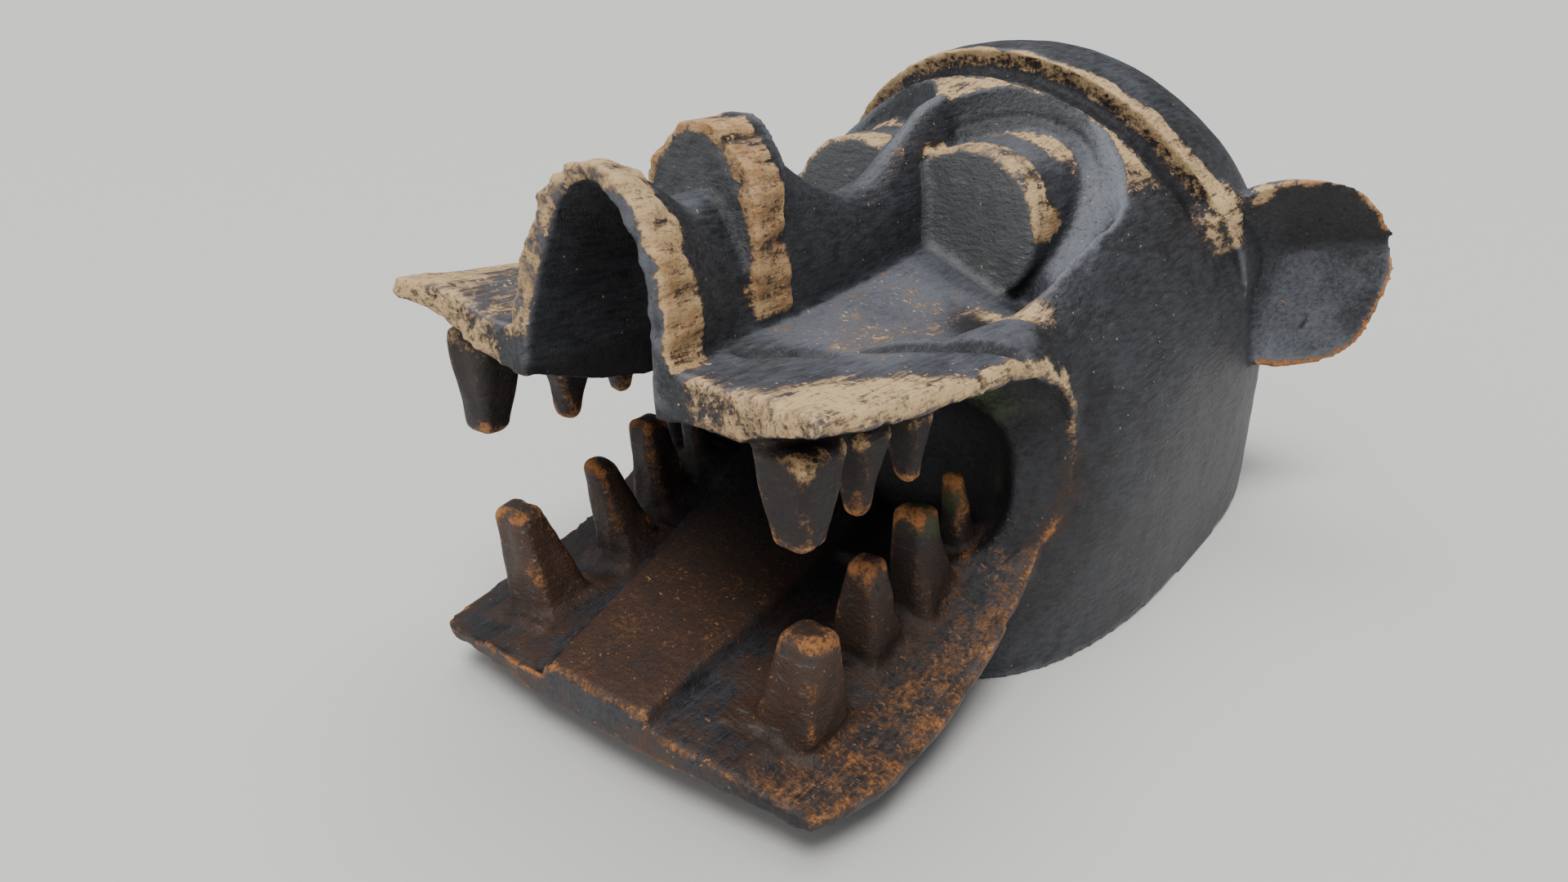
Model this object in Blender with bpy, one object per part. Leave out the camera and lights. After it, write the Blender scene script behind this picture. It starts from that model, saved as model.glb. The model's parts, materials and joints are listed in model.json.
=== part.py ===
"""Carved wooden helmet mask of an animal with a wide open mouth: the construction.

Metres, +Z up.  The mask faces -Y and stands on the rim of its helmet at Z = 0, with the
symmetry plane at X = 0.  The whole mask is one block of wood: a hollow helmet, two long jaws
with teeth, a nose ridge with a nostril block and a curled hood, two round eyes in scooped
sockets, a raised cap and two folded ears.
"""
import math

import bmesh
import bpy
import numpy as np
from mathutils import Vector

# Helmet
HEAD_HALF_WIDTH = 0.190
HEAD_FRONT = 0.294
HEAD_BACK = 0.275
HEAD_CROWN_Y = 0.096
HEAD_HEIGHT = 0.350
BELLY_HEIGHT = 0.091
FRONT_SQUARENESS = 3.3
BACK_SQUARENESS = 2.6
CROWN_SQUARENESS = 2.2
HELMET_WALL = 0.022

# The wearer's room draws back from the face between these heights
HOLLOW_LOW = 0.020
HOLLOW_HIGH = 0.180
HOLLOW_TOP_SHARE = 0.22

# Raised cap behind the forehead
CAP_RISE = 0.014
CAP_FRONT_TOP = Vector((0.0, 0.046, 0.357))
CAP_FRONT_SIDE = Vector((0.0, 0.113, 0.231))
CAP_HEM_HEIGHT = 0.150
CAP_HEM_FADE = 0.080
CAP_HEM_SINK = 0.004

# Eyes: round blocks in larger scoops
EYE_X = 0.044
EYE_HEIGHT = 0.255
EYE_RADIUS = 0.0525
EYE_FACE_Y = -0.057
EYE_DEPTH = 0.100
EYE_COVE = 0.010
SOCKET_X = 0.060
SOCKET_HEIGHT = 0.279
SOCKET_HALF_WIDTH = 0.069
SOCKET_HALF_HEIGHT = 0.084
SOCKET_CENTRE_Y = -0.052
SOCKET_BACK = 0.044
SOCKET_SQUARENESS = 0.5
SOCKET_TILT = 0.92
SOCKET_TURN = 0.60
SOCKET_FOOT = 0.022
SOCKET_FRONT = 0.150

# Jaws: the mouth is a C seen from the side, from the upper front corner round to the lower one
LIP_EDGE = [(0.147, -0.361, 0.233), (0.155, -0.300, 0.225), (0.157, -0.230, 0.218),
            (0.159, -0.170, 0.209), (0.160, -0.122, 0.178), (0.158, -0.120, 0.124),
            (0.157, -0.155, 0.086), (0.158, -0.205, 0.058), (0.159, -0.265, 0.040),
            (0.157, -0.315, 0.034), (0.143, -0.361, 0.034)]
GUM_LINE = [(0.096, -0.350, 0.216), (0.098, -0.300, 0.200), (0.098, -0.240, 0.190),
            (0.112, -0.175, 0.184), (0.130, -0.125, 0.160), (0.130, -0.128, 0.128),
            (0.116, -0.165, 0.094), (0.104, -0.215, 0.070), (0.098, -0.265, 0.054),
            (0.096, -0.312, 0.046), (0.092, -0.367, 0.043)]
CHEEK_BACK = [(0.090, -0.350, 0.2405), (0.094, -0.300, 0.238), (0.100, -0.235, 0.236),
              (0.124, -0.120, 0.228), (0.150, -0.060, 0.180), (0.150, -0.060, 0.128),
              (0.140, -0.110, 0.070), (0.112, -0.170, 0.034), (0.098, -0.240, 0.024),
              (0.094, -0.300, 0.024), (0.090, -0.367, 0.028)]
UPPER_LIP_THICKNESS = 0.010
LOWER_LIP_THICKNESS = 0.009
LIP_DISH = 0.003

# The carver's departures from symmetry
JAW_SWAY = 0.005
FAR_LIP_LIFT = 0.013
HOOD_LEAN = 0.010

# Upper jaw
UPPER_JAW_FRONT_Y = -0.352
UPPER_JAW_BACK_Y = 0.010

# Nose: bridge, nostril block and curled hood over the front of the palate
BRIDGE_FRONT_Y = -0.262
BRIDGE_BACK_Y = -0.010
NOSTRIL_FRONT_Y = -0.268
HOOD_FRONT_Y = -0.352

# Lower jaw
LOWER_JAW_FRONT_Y = -0.371
LOWER_JAW_BACK_Y = -0.140
LOWER_JAW_BOW = 0.005
TONGUE_LEFT = [(-0.366, -0.041), (-0.289, -0.060), (-0.197, -0.073), (-0.140, -0.080)]
TONGUE_RIGHT = 0.043
TONGUE_RISE = 0.010
TONGUE_STEP = 0.004

# Teeth: tip, root, size of the tip and size of the root, for the +X side
TOOTH_BEVEL = 0.004
LOWER_TEETH = [((0.113, -0.320, 0.109), (0.096, -0.310, 0.030), (0.023, 0.021), (0.046, 0.044)),
               ((0.106, -0.257, 0.119), (0.094, -0.244, 0.048), (0.019, 0.018), (0.036, 0.036)),
               ((0.107, -0.208, 0.132), (0.105, -0.199, 0.060), (0.020, 0.022), (0.032, 0.038)),
               ((0.107, -0.166, 0.137), (0.107, -0.158, 0.080), (0.012, 0.012), (0.022, 0.020))]
UPPER_TEETH = [((0.116, -0.329, 0.160), (0.112, -0.326, 0.213), (0.022, 0.020), (0.037, 0.036)),
               ((0.110, -0.272, 0.151), (0.108, -0.272, 0.203), (0.013, 0.012), (0.030, 0.030)),
               ((0.111, -0.226, 0.155), (0.109, -0.226, 0.198), (0.013, 0.012), (0.026, 0.024))]

# Back of the mouth
MOUTH_CENTRE = Vector((0.0, -0.185, 0.130))
MOUTH_HALF_WIDTH = 0.140
MOUTH_DEPTH = 0.150
MOUTH_HALF_HEIGHT = 0.055
MOUTH_SQUARENESS = 0.6

# Ears: leaves that stand out from the helmet and rake backwards
EAR_ROOT = Vector((0.166, 0.120, 0.0))
EAR_RAKE = math.radians(53.5)
EAR_FOLD_DEPTH = 0.046
EAR_ROOT_THICKNESS = 0.019
EAR_TIP_THICKNESS = 0.008
EAR_BLOCK = Vector((0.150, 0.122, 0.240))
EAR_BLOCK_SIZE = Vector((0.021, 0.036, 0.034))

# Block that trims the rim level with the ground
GROUND_REACH = 0.7
GROUND_DEPTH = 0.3

# Dark patinated wood
MASK_COLOUR = (0.055, 0.055, 0.062, 1.0)
MASK_ROUGHNESS = 0.55


def clear_scene():
    for old in list(bpy.data.objects):
        bpy.data.objects.remove(old, do_unlink=True)


def collection(name):
    made = bpy.data.collections.new(name)
    bpy.context.scene.collection.children.link(made)
    return made


def blend(a, b, t):
    """Mix two numbers or points."""
    return a * (1.0 - t) + b * t


def ease(low, high, value):
    """Smooth step from 0 at low to 1 at high."""
    t = min(max((value - low) / (high - low), 0.0), 1.0)
    return t * t * (3.0 - 2.0 * t)


def track(value, *stops):
    """Read a height or width from its (place, value) stops, straight between them."""
    places, values = zip(*stops)
    return float(np.interp(value, places, values))


def along(points, u):
    """Point at u from 0 to 1 on the smooth curve through the given points."""
    count = len(points) - 1
    step = min(int(u * count), count - 1)
    t = u * count - step
    a, b, c, d = (Vector(points[min(max(step + k, 0), count)]) for k in (-1, 0, 1, 2))
    return 0.5 * (2 * b + (c - a) * t + (2 * a - 5 * b + 4 * c - d) * t ** 2
                  + (3 * b - a - 3 * c + d) * t ** 3)


def carved(spot):
    """Hand work: the lower jaw sways to +X, the hood leans and the -X lip is lifted."""
    muzzle = ease(0.06, 0.24, -spot.y)
    sway = JAW_SWAY * muzzle * (1.0 - ease(0.08, 0.14, spot.z))
    lean = HOOD_LEAN * ease(0.24, 0.33, -spot.y) * ease(0.225, 0.300, spot.z)
    brim = ease(0.190, 0.215, spot.z) * ease(0.16, 0.27, -spot.y) * ease(0.055, 0.130, -spot.x)
    return Vector((spot.x + sway + lean, spot.y, spot.z + FAR_LIP_LIFT * brim))


def keep(name, mesh_builder, home, mirrored=False):
    """Store a bmesh as an object whose faces point outwards."""
    for vert in mesh_builder.verts:
        if mirrored:
            vert.co.x = -vert.co.x
        vert.co = carved(vert.co)
    mesh_builder.normal_update()
    bmesh.ops.recalc_face_normals(mesh_builder, faces=mesh_builder.faces)
    mesh = bpy.data.meshes.new(name)
    mesh_builder.to_mesh(mesh)
    mesh_builder.free()
    made = bpy.data.objects.new(name, mesh)
    home.objects.link(made)
    return made


def slab(name, home, cols, rows, place, mirrored=False):
    """Closed slab: place(u, v, face) puts each point of its two faces, with face 0 or 1."""
    built = bmesh.new()
    bmesh.ops.create_grid(built, x_segments=cols, y_segments=rows, size=0.5)
    extra = bmesh.ops.extrude_face_region(built, geom=built.faces[:], use_keep_orig=True)
    lifted = {item for item in extra["geom"] if isinstance(item, bmesh.types.BMVert)}
    for vert in built.verts:
        vert.co = place(vert.co.x + 0.5, vert.co.y + 0.5, 1 if vert in lifted else 0)
    return keep(name, built, home, mirrored)


def ball(name, home, around, up, place, mirrored=False):
    """Closed round form: place(x, y, z) moves each point of a unit sphere."""
    built = bmesh.new()
    bmesh.ops.create_uvsphere(built, u_segments=around, v_segments=up, radius=1.0)
    for vert in built.verts:
        vert.co = place(*vert.co)
    return keep(name, built, home, mirrored)


def head_point(x, y, z, inset=0.0):
    """Point of the helmet's outer form for a direction, moved in by inset."""
    crown_rise = HEAD_HEIGHT - BELLY_HEIGHT - inset
    ring = math.hypot(x, y)
    if z >= 0.0:
        height = BELLY_HEIGHT + crown_rise * z
        spread = ring
    else:
        height = BELLY_HEIGHT + 2.0 * BELLY_HEIGHT * z
        spread = min(1.0, 3.0 * ring)
    if ring < 1e-6:
        return Vector((0.0, HEAD_CROWN_Y, height))
    base_squareness = FRONT_SQUARENESS if y < 0.0 else BACK_SQUARENESS
    squareness = blend(base_squareness, CROWN_SQUARENESS, ease(0.0, 1.0, max(z, 0.0)))
    reach = (HEAD_FRONT if y < 0.0 else HEAD_BACK) - inset
    side, fore = abs(x) / ring, abs(y) / ring
    radius = ((side / (HEAD_HALF_WIDTH - inset)) ** squareness
              + (fore / reach) ** squareness) ** (-1.0 / squareness)
    return Vector((spread * radius * x / ring, HEAD_CROWN_Y + spread * radius * y / ring, height))


def build_head(home):
    return ball("mask", home, 44, 22, head_point)


def build_cap(home):
    """The cap is a slightly larger head, cut off along a leaning plane at the forehead."""
    def place(x, y, z):
        base = head_point(x, y, z)
        lift = blend(-CAP_HEM_SINK, CAP_RISE, ease(CAP_HEM_HEIGHT, CAP_HEM_HEIGHT + CAP_HEM_FADE, base.z))
        return head_point(x, y, z, -lift)
    cap = ball("cap", home, 44, 22, place)
    built = bmesh.new()
    built.from_mesh(cap.data)
    lean = CAP_FRONT_TOP - CAP_FRONT_SIDE
    normal = Vector((0.0, lean.z, -lean.y)).normalized()
    for point, facing in ((CAP_FRONT_TOP, normal), (Vector((0, 0, CAP_HEM_HEIGHT)), Vector((0, 0, 1)))):
        cut = bmesh.ops.bisect_plane(built, geom=built.verts[:] + built.edges[:] + built.faces[:],
                                     plane_co=point, plane_no=facing, clear_inner=True)
        edges = [item for item in cut["geom_cut"] if isinstance(item, bmesh.types.BMEdge)]
        bmesh.ops.edgeloop_fill(built, edges=edges)
    built.to_mesh(cap.data)
    built.free()
    return cap


def build_cheek(home, mirrored):
    """Flared lip and cheek: a C from the upper front corner round to the lower one."""
    def place(u, v, face):
        edge, gum, back = along(LIP_EDGE, u), along(GUM_LINE, u), along(CHEEK_BACK, u)
        if face:
            dish = LIP_DISH * math.sin(math.pi * v)
            inner = blend(gum, edge, v)
            return inner + (back - inner).normalized() * dish
        tangent = along(LIP_EDGE, min(u + 0.01, 1.0)) - along(LIP_EDGE, max(u - 0.01, 0.0))
        outer_side = (edge - gum).cross(tangent).normalized()
        thickness = blend(UPPER_LIP_THICKNESS, LOWER_LIP_THICKNESS, ease(0.25, 0.50, u))
        return blend(back, edge + outer_side * thickness, v)
    return slab("cheek", home, 26, 4, place, mirrored)


def build_socket(home, mirrored):
    """Shallow scoop round the eye that opens forwards."""
    def place(x, y, z):
        if y < 0.0:
            widen = 1.0 / max(math.hypot(x, z), 0.35)
            reach = SOCKET_FRONT * y
        else:
            widen = 1.0
            reach = SOCKET_BACK * y ** SOCKET_SQUARENESS
        aside, rise = SOCKET_HALF_WIDTH * x * widen, SOCKET_HALF_HEIGHT * z * widen
        lean = max(SOCKET_TILT * rise + SOCKET_TURN * aside, -SOCKET_FOOT)
        return Vector((SOCKET_X + aside, SOCKET_CENTRE_Y + reach + lean, SOCKET_HEIGHT + rise))
    return ball("socket", home, 28, 14, place, mirrored)


def build_eye(home, mirrored):
    """Round block with a flat face that spreads into the socket at its foot."""
    def place(x, y, z):
        ring = math.hypot(x, y)
        depth = track(z, (-0.95, EYE_DEPTH), (0.95, 0.0))
        radius = EYE_RADIUS + EYE_COVE * ease(0.45, 1.0, depth / EYE_DEPTH)
        spread = radius / ring if ring > 1e-6 else 0.0
        return Vector((EYE_X + x * spread, EYE_FACE_Y + depth, EYE_HEIGHT + y * spread))
    return ball("eye", home, 28, 10, place, mirrored)


def roof_height(x, y):
    """Top of the upper jaw: a low roof that falls away from the nose."""
    crease = track(y, (-0.352, 0.246), (-0.270, 0.240), (-0.242, 0.241), (-0.060, 0.251), (0.010, 0.253))
    eave = track(y, (-0.352, 0.239), (-0.242, 0.232), (-0.060, 0.207), (0.010, 0.200))
    return blend(crease, eave, min(abs(x) / 0.095, 1.15))


def build_upper_jaw(home):
    def place(u, v, face):
        y = blend(UPPER_JAW_FRONT_Y, UPPER_JAW_BACK_Y, v)
        side = track(y, (-0.352, 0.098), (-0.240, 0.106), (-0.120, 0.126), (0.010, 0.118))
        x = (2.0 * u - 1.0) * side
        if face:
            return Vector((x, y, roof_height(x, y)))
        gum = track(y, (-0.352, 0.217), (-0.300, 0.200), (-0.240, 0.190), (0.010, 0.184))
        return Vector((x, y, gum))
    return slab("upper_jaw", home, 12, 10, place)


def build_bridge(home):
    def place(u, v, face):
        y = blend(BRIDGE_FRONT_Y, BRIDGE_BACK_Y, v)
        half = track(y, (-0.262, 0.041), (-0.240, 0.040), (-0.150, 0.029), (-0.060, 0.018), (-0.010, 0.018))
        ridge = track(y, (-0.262, 0.332), (-0.225, 0.327), (-0.192, 0.307), (-0.160, 0.290), (-0.139, 0.285),
                      (-0.107, 0.291), (-0.075, 0.310), (-0.043, 0.329), (-0.010, 0.336))
        foot = 0.232
        t = 2.0 * u - 1.0
        angle = t * math.pi / 2
        x = half * math.sin(angle)
        if not face:
            return Vector((x, y, foot - 0.012))
        return Vector((x, y, foot + (ridge - foot) * math.cos(angle) ** 0.75))
    return slab("bridge", home, 12, 10, place)


def build_nostril(home):
    """Upright block across the nose with a flat front face."""
    outline = [(0.000, 0.341), (0.011, 0.340), (0.024, 0.329), (0.034, 0.317), (0.038, 0.303),
               (0.0415, 0.262)]

    def place(u, v, face):
        t = 2.0 * u - 1.0
        x, z = along([(x, z, 0.0) for x, z in outline], abs(t)).xy
        x = math.copysign(x, t)
        z = blend(0.226, z, v)
        y = NOSTRIL_FRONT_Y
        if face:
            y += blend(0.018, 0.040, ease(0.238, 0.340, z))
            x *= 0.94
        return Vector((x, y, z))
    return slab("nostril", home, 16, 3, place)


def hood_section(y, t):
    """Point on the hood's arch at y, with t from -1 to 1 from foot to foot."""
    back = ease(HOOD_FRONT_Y, NOSTRIL_FRONT_Y, y)
    half = blend(0.058, 0.047, back)
    top = blend(0.332, 0.306, min(1.0, back * 1.3))
    power = blend(1.15, 1.90, back)
    foot = 0.222
    angle = t * math.pi / 2
    return Vector((half * math.sin(angle), y, foot + (top - foot) * math.cos(angle) ** power))


def build_hood(home):
    def place(u, v, face):
        y = blend(HOOD_FRONT_Y, NOSTRIL_FRONT_Y + 0.006, v)
        t = 2.0 * u - 1.0
        spot = hood_section(y, t)
        if not face:
            spot.z = 0.215
        return spot
    return slab("hood", home, 18, 6, place)


def build_palate(home):
    """Hollow under the nose, open below and in front."""
    def place(u, v, face):
        y = blend(HOOD_FRONT_Y - 0.030, -0.120, v)
        top = track(y, (-0.382, 0.327), (-0.352, 0.324), (-0.280, 0.290), (-0.230, 0.236), (-0.120, 0.212))
        half = track(y, (-0.382, 0.048), (-0.352, 0.047), (-0.268, 0.044), (-0.120, 0.050))
        t = 2.0 * u - 1.0
        angle = t * math.pi / 2
        if not face:
            return Vector((half * math.sin(angle), y, 0.150))
        return Vector((half * math.sin(angle), y, 0.190 + (top - 0.190) * math.cos(angle) ** 0.95))
    return slab("palate", home, 12, 6, place)


def floor_height(x, y):
    """Top of the lower jaw between the cheeks, with the tongue raised in the middle."""
    middle = track(y, (-0.371, 0.044), (-0.192, 0.071), (-0.140, 0.080))
    side = track(y, (-0.371, 0.042), (-0.300, 0.047), (-0.240, 0.060), (-0.140, 0.096))
    left = track(y, *TONGUE_LEFT)
    raised = track(x, (left, 0.0), (left + TONGUE_STEP, 1.0),
                   (TONGUE_RIGHT - TONGUE_STEP, 1.0), (TONGUE_RIGHT, 0.0))
    return blend(middle, side, ease(0.040, 0.100, abs(x))) + TONGUE_RISE * raised


def build_lower_jaw(home):
    """Broad board whose columns follow both sides of the raised tongue."""
    def place(u, v, face):
        half = track(v, (0.0, 0.100), (0.5, 0.104), (1.0, 0.120))
        front = LOWER_JAW_FRONT_Y + LOWER_JAW_BOW * (2.0 * u - 1.0) ** 2
        y = blend(front, LOWER_JAW_BACK_Y, v)
        left = track(y, *TONGUE_LEFT)
        x = track(u, (0.0, -half), (0.30, left), (0.35, left + TONGUE_STEP),
                  (0.65, TONGUE_RIGHT - TONGUE_STEP), (0.70, TONGUE_RIGHT), (1.0, half))
        if face:
            return Vector((x, y, floor_height(x, y)))
        return Vector((x, y, track(y, (-0.371, 0.028), (-0.240, 0.018), (-0.140, 0.018))))
    return slab("lower_jaw", home, 20, 7, place)


def build_tooth(home, tip, base, tip_size, base_size, mirrored):
    """Tapered four-sided tooth from its root to its flat tip."""
    built = bmesh.new()
    made = bmesh.ops.create_cube(built, size=1.0)
    tip, base = Vector(tip), Vector(base)
    for vert in made["verts"]:
        x, y, z = vert.co
        size = tip_size if z > 0 else base_size
        centre = tip if z > 0 else base
        vert.co = centre + Vector((x * size[0], y * size[1], 0.0))
    built.normal_update()
    bmesh.ops.recalc_face_normals(built, faces=built.faces)
    bmesh.ops.bevel(built, geom=built.edges[:], offset=TOOTH_BEVEL, segments=1, affect="EDGES")
    return keep("tooth", built, home, mirrored)


def build_teeth(home):
    for tooth in LOWER_TEETH + UPPER_TEETH:
        for mirrored in (False, True):
            build_tooth(home, *tooth, mirrored)


def build_ear(home, mirrored):
    """Leaf folded along the line that runs outwards from its root."""
    upper = [(-0.030, 0.246), (0.011, 0.264), (0.057, 0.273), (0.110, 0.262), (0.148, 0.228)]
    lower = [(-0.020, 0.142), (0.021, 0.137), (0.083, 0.128), (0.135, 0.143), (0.157, 0.200)]
    outwards = Vector((math.cos(EAR_RAKE), math.sin(EAR_RAKE), 0.0))
    inwards = Vector((-math.sin(EAR_RAKE), math.cos(EAR_RAKE), 0.0))

    def place(u, v, face):
        top = along([(s, 0.0, z) for s, z in upper], u)
        low = along([(s, 0.0, z) for s, z in lower], u)
        fold = blend(Vector((-0.025, 0.0, 0.203)), Vector((0.152, 0.0, 0.222)), u)
        side = 2.0 * v - 1.0
        spot = blend(fold, top if side > 0 else low, abs(side))
        depth = EAR_FOLD_DEPTH * (1.0 - abs(side)) * (1.0 - 0.85 * u * u)
        thick = blend(EAR_ROOT_THICKNESS, EAR_TIP_THICKNESS, ease(0.0, 0.8, u))
        reach = EAR_ROOT + outwards * spot.x + inwards * (depth + (0.0 if face else thick))
        return Vector((reach.x, reach.y, spot.z))
    return slab("ear", home, 8, 8, place, mirrored)


def build_ear_block(home, mirrored):
    """Knuckle of wood where the upper edge of the ear leaves the cap."""
    def place(x, y, z):
        return EAR_BLOCK + Vector((x, y, z)) * EAR_BLOCK_SIZE
    return ball("ear_block", home, 12, 8, place, mirrored)


def build_mouth(home):
    """Back of the mouth, scooped into the front of the helmet as far as its own wall."""
    def place(x, y, z):
        spread = (MOUTH_HALF_WIDTH, MOUTH_DEPTH / 2, MOUTH_HALF_HEIGHT)
        return MOUTH_CENTRE + Vector(size * math.copysign(abs(c) ** MOUTH_SQUARENESS, c)
                                     for size, c in zip(spread, (x, y, z)))
    return ball("mouth", home, 20, 10, place)


def build_hollow(home):
    """Room for the wearer's head, high behind the eyes and low behind the mouth."""
    def place(x, y, z):
        spot = head_point(x, y, z, HELMET_WALL)
        if y < 0.0:
            full = spot.y - HEAD_CROWN_Y
            limit = blend(1.0, HOLLOW_TOP_SHARE, ease(HOLLOW_LOW, HOLLOW_HIGH, spot.z))
            spot.y = HEAD_CROWN_Y + full * limit
        return spot
    return ball("hollow", home, 30, 14, place)


def box(name, home, low, high):
    built = bmesh.new()
    made = bmesh.ops.create_cube(built, size=1.0)
    low, high = Vector(low), Vector(high)
    for vert in made["verts"]:
        vert.co = Vector(blend(a, b, c + 0.5) for a, b, c in zip(low, high, vert.co))
    return keep(name, built, home)


def join(target, home, operation):
    """Add or cut away every piece of a collection, one after the other."""
    for piece in home.objects:
        step = target.modifiers.new(piece.name, "BOOLEAN")
        step.operation = operation
        step.object = piece
        step.solver = "MANIFOLD"
        piece.hide_render = True
        piece.display_type = "WIRE"


def wood(target):
    """Dark wood over the whole mask."""
    made = bpy.data.materials.new("patinated_wood")
    made.use_nodes = True
    shader = made.node_tree.nodes["Principled BSDF"]
    shader.inputs["Base Color"].default_value = MASK_COLOUR
    shader.inputs["Roughness"].default_value = MASK_ROUGHNESS
    shader.inputs["Metallic"].default_value = 0.0
    target.data.materials.append(made)


def main():
    clear_scene()
    home = collection("african_mask")
    mask = build_head(home)
    wood(mask)
    sides = collection("cap_cheeks_ears")
    build_cap(sides)
    scoops = collection("sockets_and_mouth")
    face = collection("face")
    hollows = collection("hollows")
    for mirrored in (False, True):
        build_cheek(sides, mirrored)
        build_ear(sides, mirrored)
        build_ear_block(sides, mirrored)
        build_socket(scoops, mirrored)
        build_eye(face, mirrored)
    build_upper_jaw(face)
    build_bridge(face)
    build_nostril(face)
    build_hood(face)
    build_lower_jaw(face)
    build_teeth(face)
    build_mouth(scoops)
    build_palate(hollows)
    build_hollow(hollows)
    box("ground", hollows, (-GROUND_REACH, -GROUND_REACH, -GROUND_DEPTH), (GROUND_REACH, GROUND_REACH, 0.0))
    join(mask, sides, "UNION")
    join(mask, scoops, "DIFFERENCE")
    join(mask, face, "UNION")
    join(mask, hollows, "DIFFERENCE")


main()
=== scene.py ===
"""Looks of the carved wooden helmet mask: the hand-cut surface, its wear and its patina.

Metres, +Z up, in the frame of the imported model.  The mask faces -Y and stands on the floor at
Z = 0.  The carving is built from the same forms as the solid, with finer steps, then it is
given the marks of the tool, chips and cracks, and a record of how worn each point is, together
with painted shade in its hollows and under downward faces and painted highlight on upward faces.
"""
import json
import math

import bmesh
import bpy
import numpy as np
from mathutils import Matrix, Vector, noise

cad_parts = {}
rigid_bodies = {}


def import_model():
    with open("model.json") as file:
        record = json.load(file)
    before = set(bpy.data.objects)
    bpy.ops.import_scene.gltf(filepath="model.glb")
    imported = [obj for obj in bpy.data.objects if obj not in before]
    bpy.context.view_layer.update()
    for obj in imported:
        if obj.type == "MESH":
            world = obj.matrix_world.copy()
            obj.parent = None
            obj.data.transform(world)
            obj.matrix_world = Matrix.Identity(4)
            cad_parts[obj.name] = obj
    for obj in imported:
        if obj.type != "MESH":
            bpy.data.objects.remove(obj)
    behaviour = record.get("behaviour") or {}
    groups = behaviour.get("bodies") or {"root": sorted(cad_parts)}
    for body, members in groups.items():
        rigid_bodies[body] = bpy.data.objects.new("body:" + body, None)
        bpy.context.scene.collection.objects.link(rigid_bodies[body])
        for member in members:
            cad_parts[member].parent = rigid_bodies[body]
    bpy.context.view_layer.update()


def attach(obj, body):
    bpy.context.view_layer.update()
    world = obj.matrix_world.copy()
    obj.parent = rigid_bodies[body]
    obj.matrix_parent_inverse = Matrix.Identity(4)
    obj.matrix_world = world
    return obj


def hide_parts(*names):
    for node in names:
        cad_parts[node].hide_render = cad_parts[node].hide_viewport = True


# Fineness of the carving
FINE = 3
SURFACE_STEP = 0.0026
MOST_TRIANGLES = 190000

# Steps along curves, share and rounds of softening, gain of the noise and run of a gouge stroke
LIP_STEPS, JOIN_STEPS, CRACK_STEPS = 120, 40, 12
FAR_AWAY = 1e9
NEAR_SHARE = 0.6
THROAT_ROUNDS, CHEEK_ROUNDS, CREASE_ROUNDS = 50, 60, 9
NOISE_GAIN = 1.6
STROKE = (1.0, 0.22, 1.0)

# Places of the carved details
HOOD_FOOT = 0.235
NOSTRIL_HALF, NOSTRIL_WAIST, NOSTRIL_RISE = 0.040, 0.262, 0.079
CHEEK_GROOVE = [(0.060, -0.300, 0.238), (0.080, -0.270, 0.2355), (0.100, -0.252, 0.236),
                (0.113, -0.229, 0.234), (0.131, -0.200, 0.230), (0.148, -0.182, 0.223)]
CHEEK_JOIN = [(0.098, -0.200, 0.232), (0.112, -0.155, 0.226), (0.122, -0.115, 0.222),
              (0.130, -0.092, 0.220)]
CHEEK_PATCH = (0.106, -0.112, 0.218)
EYE_PATCH = (0.096, -0.030, 0.262)
EAR_ROOT_PATCH = (0.178, 0.146, 0.262)
EAR_BLOCK_FRONT = Vector((0.012, -0.014, 0.010))
TONGUE_EDGE = [(-0.372, -0.029), (-0.347, -0.035), (-0.324, -0.039), (-0.299, -0.043), (-0.257, -0.050),
               (-0.215, -0.052)]
BROW_CHIP = (-0.018, -0.023, 0.327)
CRACKS = [[(0.152, -0.145, 0.143), (0.149, -0.136, 0.137), (0.145, -0.131, 0.139), (0.142, -0.128, 0.133)],
          [(0.216, 0.206, 0.170), (0.212, 0.201, 0.160), (0.206, 0.193, 0.148)]]

# Helmet
HEAD_HALF_WIDTH = 0.190
HEAD_FRONT = 0.294
HEAD_BACK = 0.275
HEAD_CROWN_Y = 0.096
HEAD_HEIGHT = 0.350
BELLY_HEIGHT = 0.091
FRONT_SQUARENESS = 3.3
BACK_SQUARENESS = 2.6
CROWN_SQUARENESS = 2.2
HELMET_WALL = 0.022

# The wearer's room draws back from the face between these heights
HOLLOW_LOW = 0.020
HOLLOW_HIGH = 0.180
HOLLOW_TOP_SHARE = 0.22

# Raised cap behind the forehead
CAP_RISE = 0.014
CAP_FRONT_TOP = Vector((0.0, 0.046, 0.357))
CAP_FRONT_SIDE = Vector((0.0, 0.113, 0.231))
CAP_HEM_HEIGHT = 0.150
CAP_HEM_FADE = 0.080
CAP_HEM_SINK = 0.004

# Eyes: round blocks in larger scoops
EYE_X = 0.044
EYE_HEIGHT = 0.255
EYE_RADIUS = 0.0525
EYE_FACE_Y = -0.057
EYE_DEPTH = 0.100
EYE_COVE = 0.010
SOCKET_X = 0.060
SOCKET_HEIGHT = 0.279
SOCKET_HALF_WIDTH = 0.069
SOCKET_HALF_HEIGHT = 0.084
SOCKET_CENTRE_Y = -0.052
SOCKET_BACK = 0.044
SOCKET_SQUARENESS = 0.5
SOCKET_TILT = 0.92
SOCKET_TURN = 0.60
SOCKET_FOOT = 0.022
SOCKET_FRONT = 0.150

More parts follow.
